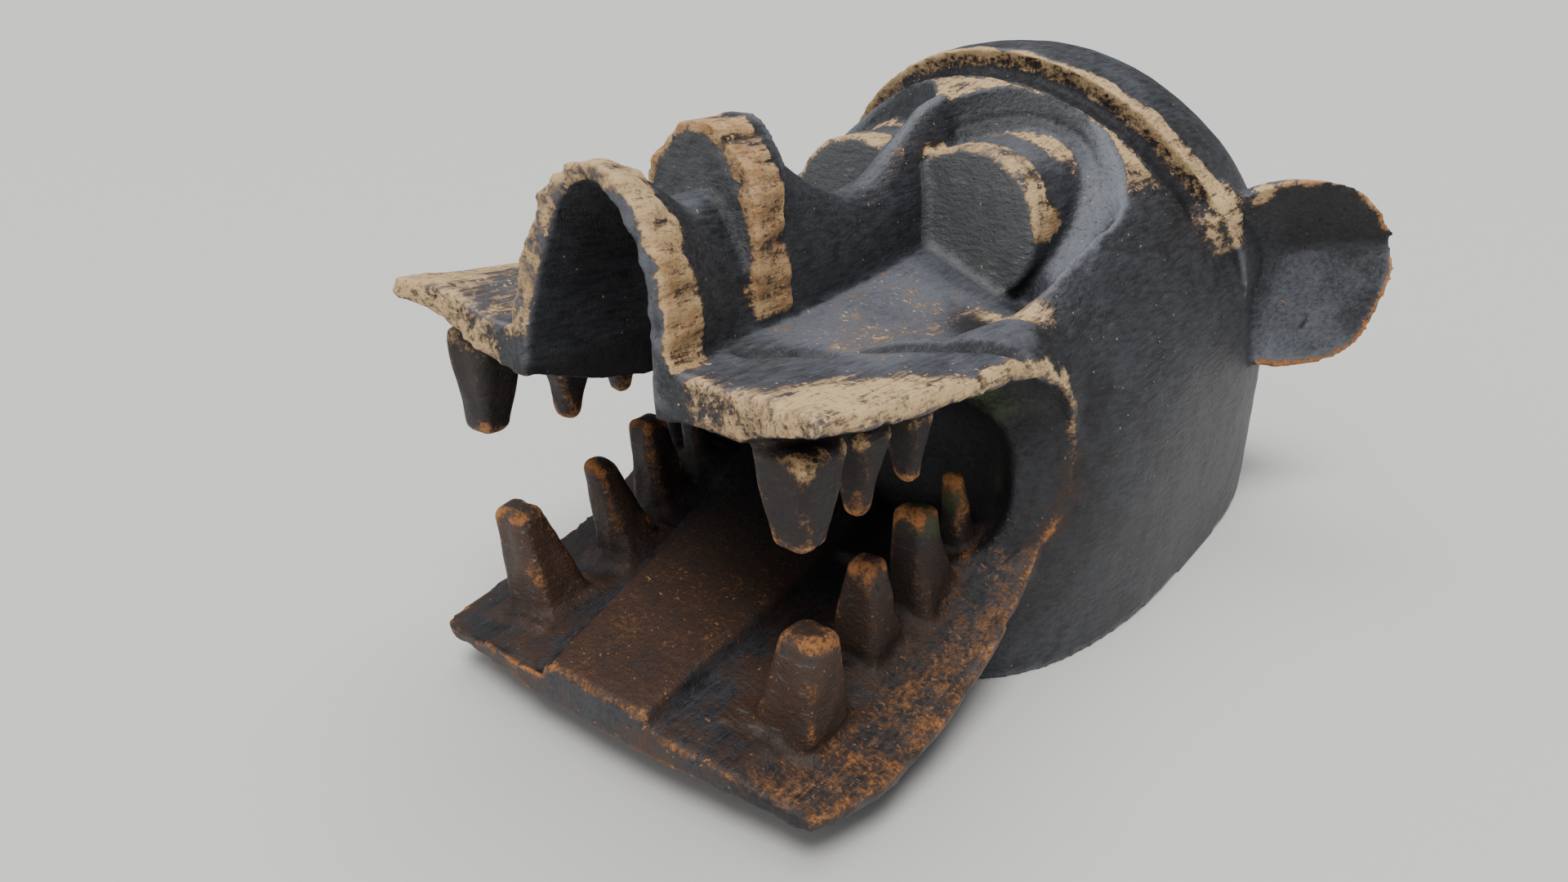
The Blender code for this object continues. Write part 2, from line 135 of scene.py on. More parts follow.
# Jaws: the mouth is a C seen from the side, from the upper front corner round to the lower one
LIP_EDGE = [(0.147, -0.361, 0.233), (0.155, -0.300, 0.225), (0.157, -0.230, 0.218),
            (0.159, -0.170, 0.209), (0.160, -0.122, 0.178), (0.158, -0.120, 0.124),
            (0.157, -0.155, 0.086), (0.158, -0.205, 0.058), (0.159, -0.265, 0.040),
            (0.157, -0.315, 0.034), (0.143, -0.361, 0.034)]
GUM_LINE = [(0.096, -0.350, 0.216), (0.098, -0.300, 0.200), (0.098, -0.240, 0.190),
            (0.112, -0.175, 0.184), (0.130, -0.125, 0.160), (0.130, -0.128, 0.128),
            (0.116, -0.165, 0.094), (0.104, -0.215, 0.070), (0.098, -0.265, 0.054),
            (0.096, -0.312, 0.046), (0.092, -0.367, 0.043)]
CHEEK_BACK = [(0.090, -0.350, 0.2405), (0.094, -0.300, 0.238), (0.100, -0.235, 0.236),
              (0.124, -0.120, 0.228), (0.150, -0.060, 0.180), (0.150, -0.060, 0.128),
              (0.140, -0.110, 0.070), (0.112, -0.170, 0.034), (0.098, -0.240, 0.024),
              (0.094, -0.300, 0.024), (0.090, -0.367, 0.028)]
UPPER_LIP_THICKNESS = 0.010
LOWER_LIP_THICKNESS = 0.009
LIP_DISH = 0.003

# The carver's departures from symmetry
JAW_SWAY = 0.005
FAR_LIP_LIFT = 0.013
HOOD_LEAN = 0.010

# Upper jaw
UPPER_JAW_FRONT_Y = -0.352
UPPER_JAW_BACK_Y = 0.010

# Nose: bridge, nostril block and curled hood over the front of the palate
BRIDGE_FRONT_Y = -0.262
BRIDGE_BACK_Y = -0.010
BRIDGE_FOOT = 0.232
BRIDGE_SINK = 0.012
NOSTRIL_FRONT_Y = -0.268
HOOD_FRONT_Y = -0.352

# Lower jaw
LOWER_JAW_FRONT_Y = -0.371
LOWER_JAW_BACK_Y = -0.140
LOWER_JAW_BOW = 0.005
TONGUE_LEFT = [(-0.366, -0.041), (-0.289, -0.060), (-0.197, -0.073), (-0.140, -0.080)]
TONGUE_RIGHT = 0.043
TONGUE_RISE = 0.010
TONGUE_STEP = 0.004

# Teeth: tip, root, size of the tip and size of the root, for the +X side
TOOTH_BEVEL = 0.004
LOWER_TEETH = [((0.113, -0.320, 0.109), (0.096, -0.310, 0.030), (0.023, 0.021), (0.046, 0.044)),
               ((0.106, -0.257, 0.119), (0.094, -0.244, 0.048), (0.019, 0.018), (0.036, 0.036)),
               ((0.107, -0.208, 0.132), (0.105, -0.199, 0.060), (0.020, 0.022), (0.032, 0.038)),
               ((0.107, -0.166, 0.137), (0.107, -0.158, 0.080), (0.012, 0.012), (0.022, 0.020))]
UPPER_TEETH = [((0.116, -0.329, 0.160), (0.112, -0.326, 0.213), (0.022, 0.020), (0.037, 0.036)),
               ((0.110, -0.272, 0.151), (0.108, -0.272, 0.203), (0.013, 0.012), (0.030, 0.030)),
               ((0.111, -0.226, 0.155), (0.109, -0.226, 0.198), (0.013, 0.012), (0.026, 0.024))]

# Back of the mouth
MOUTH_CENTRE = Vector((0.0, -0.185, 0.130))
MOUTH_HALF_WIDTH = 0.140
MOUTH_DEPTH = 0.150
MOUTH_HALF_HEIGHT = 0.055
MOUTH_SQUARENESS = 0.6

# Ears: leaves that stand out from the helmet and rake backwards
EAR_ROOT = Vector((0.166, 0.120, 0.0))
EAR_RAKE = math.radians(53.5)
EAR_FOLD_DEPTH = 0.046
EAR_ROOT_THICKNESS = 0.019
EAR_TIP_THICKNESS = 0.008
EAR_BLOCK = Vector((0.150, 0.122, 0.240))
EAR_BLOCK_SIZE = Vector((0.021, 0.036, 0.034))

# Block that trims the rim level with the ground
GROUND_REACH = 0.7
GROUND_DEPTH = 0.3


def collection(name):
    made = bpy.data.collections.new(name)
    bpy.context.scene.collection.children.link(made)
    return made


def blend(a, b, t):
    """Mix two numbers or points."""
    return a * (1.0 - t) + b * t


def ease(low, high, value):
    """Smooth step from 0 at low to 1 at high."""
    t = min(max((value - low) / (high - low), 0.0), 1.0)
    return t * t * (3.0 - 2.0 * t)


def track(value, *stops):
    """Read a height or width from its (place, value) stops, straight between them."""
    places, values = zip(*stops)
    return float(np.interp(value, places, values))


def along(points, u):
    """Point at u from 0 to 1 on the smooth curve through the given points."""
    count = len(points) - 1
    step = min(int(u * count), count - 1)
    t = u * count - step
    a, b, c, d = (Vector(points[min(max(step + k, 0), count)]) for k in (-1, 0, 1, 2))
    return 0.5 * (2 * b + (c - a) * t + (2 * a - 5 * b + 4 * c - d) * t ** 2
                  + (3 * b - a - 3 * c + d) * t ** 3)


def carved(spot):
    """Hand work: the lower jaw sways to +X, the hood leans and the -X lip is lifted."""
    muzzle = ease(0.06, 0.24, -spot.y)
    sway = JAW_SWAY * muzzle * (1.0 - ease(0.08, 0.14, spot.z))
    lean = HOOD_LEAN * ease(0.24, 0.33, -spot.y) * ease(0.225, 0.3, spot.z)
    brim = ease(0.19, 0.215, spot.z) * ease(0.16, 0.27, -spot.y) * ease(0.055, 0.13, -spot.x)
    return Vector((spot.x + sway + lean, spot.y, spot.z + FAR_LIP_LIFT * brim))


def keep(name, mesh_builder, home, mirrored=False):
    """Store a bmesh as an object whose faces point outwards."""
    for vert in mesh_builder.verts:
        if mirrored:
            vert.co.x = -vert.co.x
        vert.co = carved(vert.co)
    mesh_builder.normal_update()
    bmesh.ops.recalc_face_normals(mesh_builder, faces=mesh_builder.faces)
    mesh = bpy.data.meshes.new(name)
    mesh_builder.to_mesh(mesh)
    mesh_builder.free()
    made = bpy.data.objects.new(name, mesh)
    home.objects.link(made)
    return made


def slab(name, home, cols, rows, place, mirrored=False):
    """Closed slab: place(u, v, face) puts each point of its two faces, with face 0 or 1."""
    built = bmesh.new()
    bmesh.ops.create_grid(built, x_segments=cols * FINE, y_segments=rows * FINE, size=0.5)
    extra = bmesh.ops.extrude_face_region(built, geom=built.faces[:], use_keep_orig=True)
    lifted = {item for item in extra["geom"] if isinstance(item, bmesh.types.BMVert)}
    for vert in built.verts:
        vert.co = place(vert.co.x + 0.5, vert.co.y + 0.5, 1 if vert in lifted else 0)
    return keep(name, built, home, mirrored)


def ball(name, home, around, up, place, mirrored=False):
    """Closed round form: place(x, y, z) moves each point of a unit sphere."""
    built = bmesh.new()
    bmesh.ops.create_uvsphere(built, u_segments=around * FINE, v_segments=up * FINE, radius=1.0)
    for vert in built.verts:
        vert.co = place(*vert.co)
    return keep(name, built, home, mirrored)


def head_point(x, y, z, inset=0.0):
    """Point of the helmet's outer form for a direction, moved in by inset."""
    crown_rise = HEAD_HEIGHT - BELLY_HEIGHT - inset
    ring = math.hypot(x, y)
    if z >= 0.0:
        height = BELLY_HEIGHT + crown_rise * z
        spread = ring
    else:
        height = BELLY_HEIGHT + 2.0 * BELLY_HEIGHT * z
        spread = min(1.0, 3.0 * ring)
    if ring < 1e-6:
        return Vector((0.0, HEAD_CROWN_Y, height))
    base_squareness = FRONT_SQUARENESS if y < 0.0 else BACK_SQUARENESS
    squareness = blend(base_squareness, CROWN_SQUARENESS, ease(0.0, 1.0, max(z, 0.0)))
    reach = (HEAD_FRONT if y < 0.0 else HEAD_BACK) - inset
    side, fore = abs(x) / ring, abs(y) / ring
    radius = ((side / (HEAD_HALF_WIDTH - inset)) ** squareness
              + (fore / reach) ** squareness) ** (-1.0 / squareness)
    return Vector((spread * radius * x / ring, HEAD_CROWN_Y + spread * radius * y / ring, height))


def build_head(home):
    return ball("mask", home, 44, 22, head_point)


def build_cap(home):
    """The cap is a slightly larger head, cut off along a leaning plane at the forehead."""
    def place(x, y, z):
        base = head_point(x, y, z)
        lift = blend(-CAP_HEM_SINK, CAP_RISE, ease(CAP_HEM_HEIGHT, CAP_HEM_HEIGHT + CAP_HEM_FADE, base.z))
        return head_point(x, y, z, -lift)
    cap = ball("cap", home, 44, 22, place)
    built = bmesh.new()
    built.from_mesh(cap.data)
    lean = CAP_FRONT_TOP - CAP_FRONT_SIDE
    normal = Vector((0.0, lean.z, -lean.y)).normalized()
    for point, facing in ((CAP_FRONT_TOP, normal), (Vector((0, 0, CAP_HEM_HEIGHT)), Vector((0, 0, 1)))):
        cut = bmesh.ops.bisect_plane(built, geom=built.verts[:] + built.edges[:] + built.faces[:],
                                     plane_co=point, plane_no=facing, clear_inner=True)
        edges = [item for item in cut["geom_cut"] if isinstance(item, bmesh.types.BMEdge)]
        bmesh.ops.edgeloop_fill(built, edges=edges)
    built.to_mesh(cap.data)
    built.free()
    return cap


def build_cheek(home, mirrored):
    """Flared lip and cheek: a C from the upper front corner round to the lower one."""
    def place(u, v, face):
        edge, gum, back = along(LIP_EDGE, u), along(GUM_LINE, u), along(CHEEK_BACK, u)
        if face:
            dish = LIP_DISH * math.sin(math.pi * v)
            inner = blend(gum, edge, v)
            return inner + (back - inner).normalized() * dish
        tangent = along(LIP_EDGE, min(u + 0.01, 1.0)) - along(LIP_EDGE, max(u - 0.01, 0.0))
        outer_side = (edge - gum).cross(tangent).normalized()
        thickness = blend(UPPER_LIP_THICKNESS, LOWER_LIP_THICKNESS, ease(0.25, 0.5, u))
        return blend(back, edge + outer_side * thickness, v)
    return slab("cheek", home, 26, 4, place, mirrored)


def build_socket(home, mirrored):
    """Shallow scoop round the eye that opens forwards."""
    def place(x, y, z):
        if y < 0.0:
            widen = 1.0 / max(math.hypot(x, z), 0.35)
            reach = SOCKET_FRONT * y
        else:
            widen = 1.0
            reach = SOCKET_BACK * y ** SOCKET_SQUARENESS
        aside, lift = SOCKET_HALF_WIDTH * x * widen, SOCKET_HALF_HEIGHT * z * widen
        lean = max(SOCKET_TILT * lift + SOCKET_TURN * aside, -SOCKET_FOOT)
        return Vector((SOCKET_X + aside, SOCKET_CENTRE_Y + reach + lean, SOCKET_HEIGHT + lift))
    return ball("socket", home, 28, 14, place, mirrored)


def build_eye(home, mirrored):
    """Round block with a flat face that spreads into the socket at its foot."""
    def place(x, y, z):
        ring = math.hypot(x, y)
        depth = track(z, (-0.95, EYE_DEPTH), (0.95, 0.0))
        radius = EYE_RADIUS + EYE_COVE * ease(0.45, 1.0, depth / EYE_DEPTH)
        spread = radius / ring if ring > 1e-6 else 0.0
        return Vector((EYE_X + x * spread, EYE_FACE_Y + depth, EYE_HEIGHT + y * spread))
    return ball("eye", home, 28, 10, place, mirrored)


def roof_height(x, y):
    """Top of the upper jaw: a low roof that falls away from the nose."""
    crease = track(y, (-0.352, 0.246), (-0.27, 0.24), (-0.242, 0.241), (-0.06, 0.251), (0.01, 0.253))
    eave = track(y, (-0.352, 0.239), (-0.242, 0.232), (-0.06, 0.207), (0.01, 0.2))
    return blend(crease, eave, min(abs(x) / 0.095, 1.15))


def build_upper_jaw(home):
    def place(u, v, face):
        y = blend(UPPER_JAW_FRONT_Y, UPPER_JAW_BACK_Y, v)
        side = track(y, (-0.352, 0.098), (-0.24, 0.106), (-0.12, 0.126), (0.01, 0.118))
        x = (2.0 * u - 1.0) * side
        if face:
            return Vector((x, y, roof_height(x, y)))
        gum = track(y, (-0.352, 0.217), (-0.3, 0.2), (-0.24, 0.19), (0.01, 0.184))
        return Vector((x, y, gum))
    return slab("upper_jaw", home, 12, 10, place)


def arch(y, t, half, foot, top, power):
    """Point of an arch across the mask at y, with t from -1 to 1 from foot to foot."""
    angle = t * math.pi / 2
    return Vector((half * math.sin(angle), y, foot + (top - foot) * math.cos(angle) ** power))


def build_bridge(home):
    def place(u, v, face):
        y = blend(BRIDGE_FRONT_Y, BRIDGE_BACK_Y, v)
        half = track(y, (-0.262, 0.041), (-0.24, 0.04), (-0.15, 0.029), (-0.06, 0.018), (-0.01, 0.018))
        ridge = track(y, (-0.262, 0.332), (-0.225, 0.327), (-0.192, 0.307), (-0.16, 0.29),
                      (-0.139, 0.285), (-0.107, 0.291), (-0.075, 0.31), (-0.043, 0.329),
                      (-0.01, 0.336))
        spot = arch(y, 2.0 * u - 1.0, half, BRIDGE_FOOT, ridge, 0.75)
        if not face:
            spot.z = BRIDGE_FOOT - BRIDGE_SINK
        return spot
    return slab("bridge", home, 12, 10, place)


def build_nostril(home):
    """Upright block across the nose with a flat front face."""
    outline = [(0.0, 0.341), (0.011, 0.34), (0.024, 0.329), (0.034, 0.317), (0.038, 0.303),
               (0.0415, 0.262)]

    def place(u, v, face):
        t = 2.0 * u - 1.0
        x, z = along([(x, z, 0.0) for x, z in outline], abs(t)).xy
        x = math.copysign(x, t)
        z = blend(0.226, z, v)
        y = NOSTRIL_FRONT_Y
        if face:
            y += blend(0.018, 0.04, ease(0.238, 0.34, z))
            x *= 0.94
        return Vector((x, y, z))
    return slab("nostril", home, 16, 3, place)


def build_hood(home):
    """Curled hood: an arch that narrows and sinks towards the nostril block."""
    def place(u, v, face):
        y = blend(HOOD_FRONT_Y, NOSTRIL_FRONT_Y + 0.006, v)
        back = ease(HOOD_FRONT_Y, NOSTRIL_FRONT_Y, y)
        half = blend(0.058, 0.047, back)
        top = blend(0.332, 0.306, min(1.0, back * 1.3))
        spot = arch(y, 2.0 * u - 1.0, half, 0.222, top, blend(1.15, 1.9, back))
        if not face:
            spot.z = 0.215
        return spot
    return slab("hood", home, 18, 6, place)


def build_palate(home):
    """Hollow under the nose, open below and in front."""
    def place(u, v, face):
        y = blend(HOOD_FRONT_Y - 0.03, -0.12, v)
        top = track(y, (-0.382, 0.327), (-0.352, 0.324), (-0.28, 0.29), (-0.23, 0.236), (-0.12, 0.212))
        half = track(y, (-0.382, 0.048), (-0.352, 0.047), (-0.268, 0.044), (-0.12, 0.05))
        spot = arch(y, 2.0 * u - 1.0, half, 0.19, top, 0.95)
        if not face:
            spot.z = 0.15
        return spot
    return slab("palate", home, 12, 6, place)


def floor_height(x, y):
    """Top of the lower jaw between the cheeks, with the tongue raised in the middle."""
    middle = track(y, (-0.371, 0.044), (-0.192, 0.071), (-0.14, 0.08))
    side = track(y, (-0.371, 0.042), (-0.3, 0.047), (-0.24, 0.06), (-0.14, 0.096))
    left = track(y, *TONGUE_LEFT)
    raised = track(x, (left, 0.0), (left + TONGUE_STEP, 1.0),
                   (TONGUE_RIGHT - TONGUE_STEP, 1.0), (TONGUE_RIGHT, 0.0))
    return blend(middle, side, ease(0.04, 0.1, abs(x))) + TONGUE_RISE * raised


def build_lower_jaw(home):
    """Broad board whose columns follow both sides of the raised tongue."""
    def place(u, v, face):
        half = track(v, (0.0, 0.1), (0.5, 0.104), (1.0, 0.12))
        front = LOWER_JAW_FRONT_Y + LOWER_JAW_BOW * (2.0 * u - 1.0) ** 2
        y = blend(front, LOWER_JAW_BACK_Y, v)
        left = track(y, *TONGUE_LEFT)
        x = track(u, (0.0, -half), (0.3, left), (0.35, left + TONGUE_STEP),
                  (0.65, TONGUE_RIGHT - TONGUE_STEP), (0.7, TONGUE_RIGHT), (1.0, half))
        if face:
            return Vector((x, y, floor_height(x, y)))
        return Vector((x, y, track(y, (-0.371, 0.028), (-0.24, 0.018), (-0.14, 0.018))))
    return slab("lower_jaw", home, 20, 7, place)


def build_tooth(home, tip, base, tip_size, base_size, mirrored):
    """Tapered four-sided tooth from its root to its flat tip."""
    built = bmesh.new()
    made = bmesh.ops.create_cube(built, size=1.0)
    tip, base = Vector(tip), Vector(base)
    for vert in made["verts"]:
        x, y, z = vert.co
        size = tip_size if z > 0 else base_size
        centre = tip if z > 0 else base
        vert.co = centre + Vector((x * size[0], y * size[1], 0.0))
    built.normal_update()
    bmesh.ops.recalc_face_normals(built, faces=built.faces)
    bmesh.ops.bevel(built, geom=built.edges[:], offset=TOOTH_BEVEL, segments=1, affect="EDGES")
    return keep("tooth", built, home, mirrored)


def build_teeth(home):
    for tooth in LOWER_TEETH + UPPER_TEETH:
        for mirrored in (False, True):
            build_tooth(home, *tooth, mirrored)


def build_ear(home, mirrored):
    """Leaf folded along the line that runs outwards from its root."""
    upper = [(-0.03, 0.246), (0.011, 0.264), (0.057, 0.273), (0.11, 0.262), (0.148, 0.228)]
    lower = [(-0.02, 0.142), (0.021, 0.137), (0.083, 0.128), (0.135, 0.143), (0.157, 0.2)]
    outwards = Vector((math.cos(EAR_RAKE), math.sin(EAR_RAKE), 0.0))
    inwards = Vector((-math.sin(EAR_RAKE), math.cos(EAR_RAKE), 0.0))

    def place(u, v, face):
        top = along([(s, 0.0, z) for s, z in upper], u)
        low = along([(s, 0.0, z) for s, z in lower], u)
        fold = blend(Vector((-0.025, 0.0, 0.203)), Vector((0.152, 0.0, 0.222)), u)
        side = 2.0 * v - 1.0
        spot = blend(fold, top if side > 0 else low, abs(side))
        depth = EAR_FOLD_DEPTH * (1.0 - abs(side)) * (1.0 - 0.85 * u * u)
        thick = blend(EAR_ROOT_THICKNESS, EAR_TIP_THICKNESS, ease(0.0, 0.8, u))
        reach = EAR_ROOT + outwards * spot.x + inwards * (depth + (0.0 if face else thick))
        return Vector((reach.x, reach.y, spot.z))
    return slab("ear", home, 8, 8, place, mirrored)


def build_ear_block(home, mirrored):
    """Knuckle of wood where the upper edge of the ear leaves the cap."""
    def place(x, y, z):
        return EAR_BLOCK + Vector((x, y, z)) * EAR_BLOCK_SIZE
    return ball("ear_block", home, 12, 8, place, mirrored)


def build_mouth(home):
    """Back of the mouth, scooped into the front of the helmet as far as its own wall."""
    def place(x, y, z):
        spread = (MOUTH_HALF_WIDTH, MOUTH_DEPTH / 2, MOUTH_HALF_HEIGHT)
        return MOUTH_CENTRE + Vector(size * math.copysign(abs(c) ** MOUTH_SQUARENESS, c)
                                     for size, c in zip(spread, (x, y, z)))
    return ball("mouth", home, 20, 10, place)


def build_hollow(home):
    """Room for the wearer's head, high behind the eyes and low behind the mouth."""
    def place(x, y, z):
        spot = head_point(x, y, z, HELMET_WALL)
        if y < 0.0:
            full = spot.y - HEAD_CROWN_Y
            limit = blend(1.0, HOLLOW_TOP_SHARE, ease(HOLLOW_LOW, HOLLOW_HIGH, spot.z))
            spot.y = HEAD_CROWN_Y + full * limit
        return spot
    return ball("hollow", home, 30, 14, place)


def box(name, home, low, high):
    built = bmesh.new()
    made = bmesh.ops.create_cube(built, size=1.0)
    low, high = Vector(low), Vector(high)
    for vert in made["verts"]:
        vert.co = Vector(blend(a, b, c + 0.5) for a, b, c in zip(low, high, vert.co))
    return keep(name, built, home)


def join(target, home, operation):
    """Add or cut away every piece of a collection, one after the other."""
    for piece in home.objects:
        step = target.modifiers.new(piece.name, "BOOLEAN")
        step.operation = operation
        step.object = piece
        step.solver = "MANIFOLD"
        piece.hide_render = True
        piece.display_type = "WIRE"


def settle(piece):
    """Keep what the modifiers of a piece make, as its own mesh."""
    depsgraph = bpy.context.evaluated_depsgraph_get()
    made = bpy.data.meshes.new_from_object(piece.evaluated_get(depsgraph))
    piece.modifiers.clear()
    piece.data = made


def rough_out():
    """All forms of the mask joined into one closed mesh with small even faces."""
    mask = build_head(collection("forms"))
    names = ("cap_cheeks_ears", "sockets_and_mouth", "face", "hollows")
    sides, scoops, face, hollows = (collection(name) for name in names)
    build_cap(sides)
    for mirrored in (False, True):
        build_cheek(sides, mirrored)
        build_ear(sides, mirrored)
        build_ear_block(sides, mirrored)
        build_socket(scoops, mirrored)
        build_eye(face, mirrored)
    for build in (build_upper_jaw, build_bridge, build_nostril, build_hood, build_lower_jaw, build_teeth):
        build(face)
    build_mouth(scoops)
    build_palate(hollows)
    build_hollow(hollows)
    box("ground", hollows, (-GROUND_REACH, -GROUND_REACH, -GROUND_DEPTH),
        (GROUND_REACH, GROUND_REACH, 0.0))
    groups = (sides, scoops, face, hollows)
    for group, operation in zip(groups, ("UNION", "DIFFERENCE", "UNION", "DIFFERENCE")):
        join(mask, group, operation)
    settle(mask)
    for group in groups:
        for form in list(group.objects):
            bpy.data.objects.remove(form, do_unlink=True)
        bpy.data.collections.remove(group)
    mask.name = "carving"
    fuse = mask.modifiers.new("fuse", "REMESH")
    fuse.mode = "VOXEL"
    fuse.voxel_size = SURFACE_STEP * 1.0
    soften = mask.modifiers.new("soften", "SMOOTH")
    soften.factor = 0.5
    soften.iterations = 2
    settle(mask)
    return mask


def rise(low, high, values):
    """Smooth step over an array, 0 below low and 1 above high."""
    t = np.clip((values - low) / (high - low), 0.0, 1.0)
    return t * t * (3.0 - 2.0 * t)


def fall(low, high, values):
    """Smooth step over an array, 1 below low and 0 above high."""
    return 1.0 - rise(low, high, values)


def band(low, high, soft, values):
    """1 between low and high, falling to 0 over soft on both sides."""
    return rise(low - soft, low, values) * fall(high, high + soft, values)


class Surface:
    """The carving's points, with their normals and neighbours, as arrays."""

    def __init__(self, mesh):
        self.mesh = mesh
        self.points = np.empty(len(mesh.vertices) * 3)
        mesh.vertices.foreach_get("co", self.points)
        self.points = self.points.reshape(-1, 3)
        self.edges = np.empty(len(mesh.edges) * 2, dtype=np.int32)
        mesh.edges.foreach_get("vertices", self.edges)
        self.edges = self.edges.reshape(-1, 2)
        self.links = np.bincount(self.edges.ravel(), minlength=len(self.points)).astype(float)
        self.links = np.maximum(self.links, 1.0)
        self.read_normals()
        self.wobble = 0.004 * self.mottle(0.018, 31.0)

    def read_normals(self):
        self.normals = np.empty(len(self.points) * 3)
        self.mesh.vertices.foreach_get("normal", self.normals)
        self.normals = self.normals.reshape(-1, 3)

    def near_sum(self, values):
        """Sum of the values at each point's neighbours."""
        first, second = self.edges.T
        total = np.bincount(first, values[second], len(values))
        return total + np.bincount(second, values[first], len(values))

    def spread(self, values, rounds):
        """Average each value with its neighbours, a number of times over."""
        for _ in range(rounds):
            values = (1.0 - NEAR_SHARE) * values + NEAR_SHARE * self.near_sum(values) / self.links
        return values

    def ridges(self, rounds):
        """How far each point stands out as an edge (above 0) or lies in a crease (below 0)."""
        first, second = self.edges.T
        way = self.points[second] - self.points[first]
        length = np.maximum(np.linalg.norm(way, axis=1), 1e-9)
        total = np.zeros(len(self.points))
        for ends, sign in ((first, -1.0), (second, 1.0)):
            drop = sign * np.einsum("ij,ij->i", self.normals[ends], way) / length
            total += np.bincount(ends, drop, len(self.points))
        return self.spread(total / self.links, rounds)

    def mottle(self, size, seed=0.0, stretch=(1.0, 1.0, 1.0)):
        """Smooth noise from about -1 to 1 in patches of the given size; each seed has its own."""
        scaled = self.points * np.array(stretch) / size + seed
        return np.array([noise.noise(spot) for spot in scaled.tolist()]) * NOISE_GAIN

    def off_curve(self, curve):
        """Distance to a curve of points, and how far along it the nearest one is."""
        best = np.full(len(self.points), FAR_AWAY)
        place = np.zeros(len(self.points))
        for index, spot in enumerate(curve):
            gap = ((self.points - spot) ** 2).sum(axis=1)
            nearer = gap < best
            best[nearer] = gap[nearer]
            place[nearer] = index / (len(curve) - 1)
        return np.sqrt(best), place

    def mirrored(self):
        """The points with both sides of the mask laid on the +X side."""
        return np.column_stack((np.abs(self.points[:, 0]), self.points[:, 1:]))

    def off_point(self, spot):
        """Distance to a point, the same on both sides of the mask."""
        return np.linalg.norm(self.mirrored() - np.array(spot), axis=1)

    def off_both(self, points):
        """Distance to the curve through the given points, the same on both sides of the mask."""
        mirrored = self.mirrored()
        best = np.full(len(mirrored), FAR_AWAY)
        for spot in traced(points, JOIN_STEPS):
            best = np.minimum(best, ((mirrored - np.array(spot)) ** 2).sum(axis=1))
        return np.sqrt(best)

    def relax(self, weights, rounds):
        """Soften the form where the weights are above 0."""
        for _ in range(rounds):
            for axis in range(3):
                column = self.points[:, axis]
                mean = self.near_sum(column) / self.links
                self.points[:, axis] += NEAR_SHARE * weights * (mean - column)
        self.move(np.zeros(len(self.points)))

    def move(self, depth):
        """Move each point along its normal, with depth above 0 for outwards."""
        self.points += self.normals * depth[:, None]
        self.mesh.vertices.foreach_set("co", self.points.ravel())
        self.mesh.update()
        self.read_normals()

    def record(self, **records):
        """Store a value of each kind for each point, for the material to read."""
        for name, values in records.items():
            layer = self.mesh.attributes.new(name, "FLOAT", "POINT")
            layer.data.foreach_set("value", np.clip(values, 0.0, 1.0).astype(np.float32))


def traced(points, count):
    """Evenly spaced places along the smooth curve through the given points."""
    return [along(points, step / count) for step in range(count + 1)]


def lip_curve(side):
    """The edge of the lip on one side, as carved."""
    return [carved(Vector((side * spot.x, spot.y, spot.z))) for spot in traced(LIP_EDGE, LIP_STEPS)]


def cap_distance(skin):
    """Distance behind the leaning plane of the cap's front edge."""
    lean = CAP_FRONT_TOP - CAP_FRONT_SIDE
    normal = Vector((0.0, lean.z, -lean.y)).normalized()
    return (skin.points - np.array(CAP_FRONT_TOP)) @ np.array(normal)


def socket_reach(side, y, z):
    """1 on the floor and walls of the eye sockets, falling to 0 past their rim."""
    aside, lift = side - SOCKET_X, z - SOCKET_HEIGHT
    ring = np.hypot(aside / SOCKET_HALF_WIDTH, lift / SOCKET_HALF_HEIGHT)
    bowl = np.clip(1.0 - ring ** 2, 0.0, 1.0) ** (0.5 * SOCKET_SQUARENESS)
    lean = np.maximum(SOCKET_TILT * lift + SOCKET_TURN * aside, -SOCKET_FOOT)
    gap = y - (SOCKET_CENTRE_Y + SOCKET_BACK * bowl + lean)
    return fall(0.95, 1.05, ring) * fall(0.0022, 0.0042, np.abs(gap))


def mark_lips(skin, on):
    """Edge of the lips, brim above the mouth, flange below it and the wall of the cheek."""
    x, y, z = skin.points.T
    across, back, up = skin.normals.T
    side, wobble = np.abs(x), skin.wobble
    near_gap, near_place = skin.off_curve(lip_curve(1.0))
    far_gap, far_place = skin.off_curve(lip_curve(-1.0))
    gap = np.minimum(near_gap, far_gap)
    place = np.where(near_gap < far_gap, near_place, far_place)
    lower = rise(0.52, 0.62, place)
    width = 0.015 + 0.052 * fall(-0.33, -0.21, y)
    on["lip_gap"] = gap
    on["brim"] = (fall(0.4, 1.0, (gap + 2.0 * wobble) / width) * fall(0.36, 0.44, place)
                  * rise(-0.5, 0.0, up))
    on["brim_front"] = fall(-0.352, -0.318, y + 3.0 * wobble) * rise(0.205, 0.222, z)
    on["brim_front"] *= rise(0.058, 0.072, side) * rise(-0.5, 0.2, up - back)
    on["far_brim"] = (rise(0.06, 0.08, -x) * fall(-0.25, -0.2, y) * rise(0.3, 0.7, up)
                      * rise(0.21, 0.225, z))
    on["flange"] = fall(0.02, 0.075, gap) * lower * rise(0.0, 0.4, up) * rise(0.055, 0.105, side)
    on["cheek_wall"] = (fall(0.02, 0.07, gap) * rise(0.3, 0.42, place)
                        * rise(-0.2, 0.1, -back - 0.3 * across))
    on["jaw_edge"] = fall(0.002, 0.009, gap) * lower


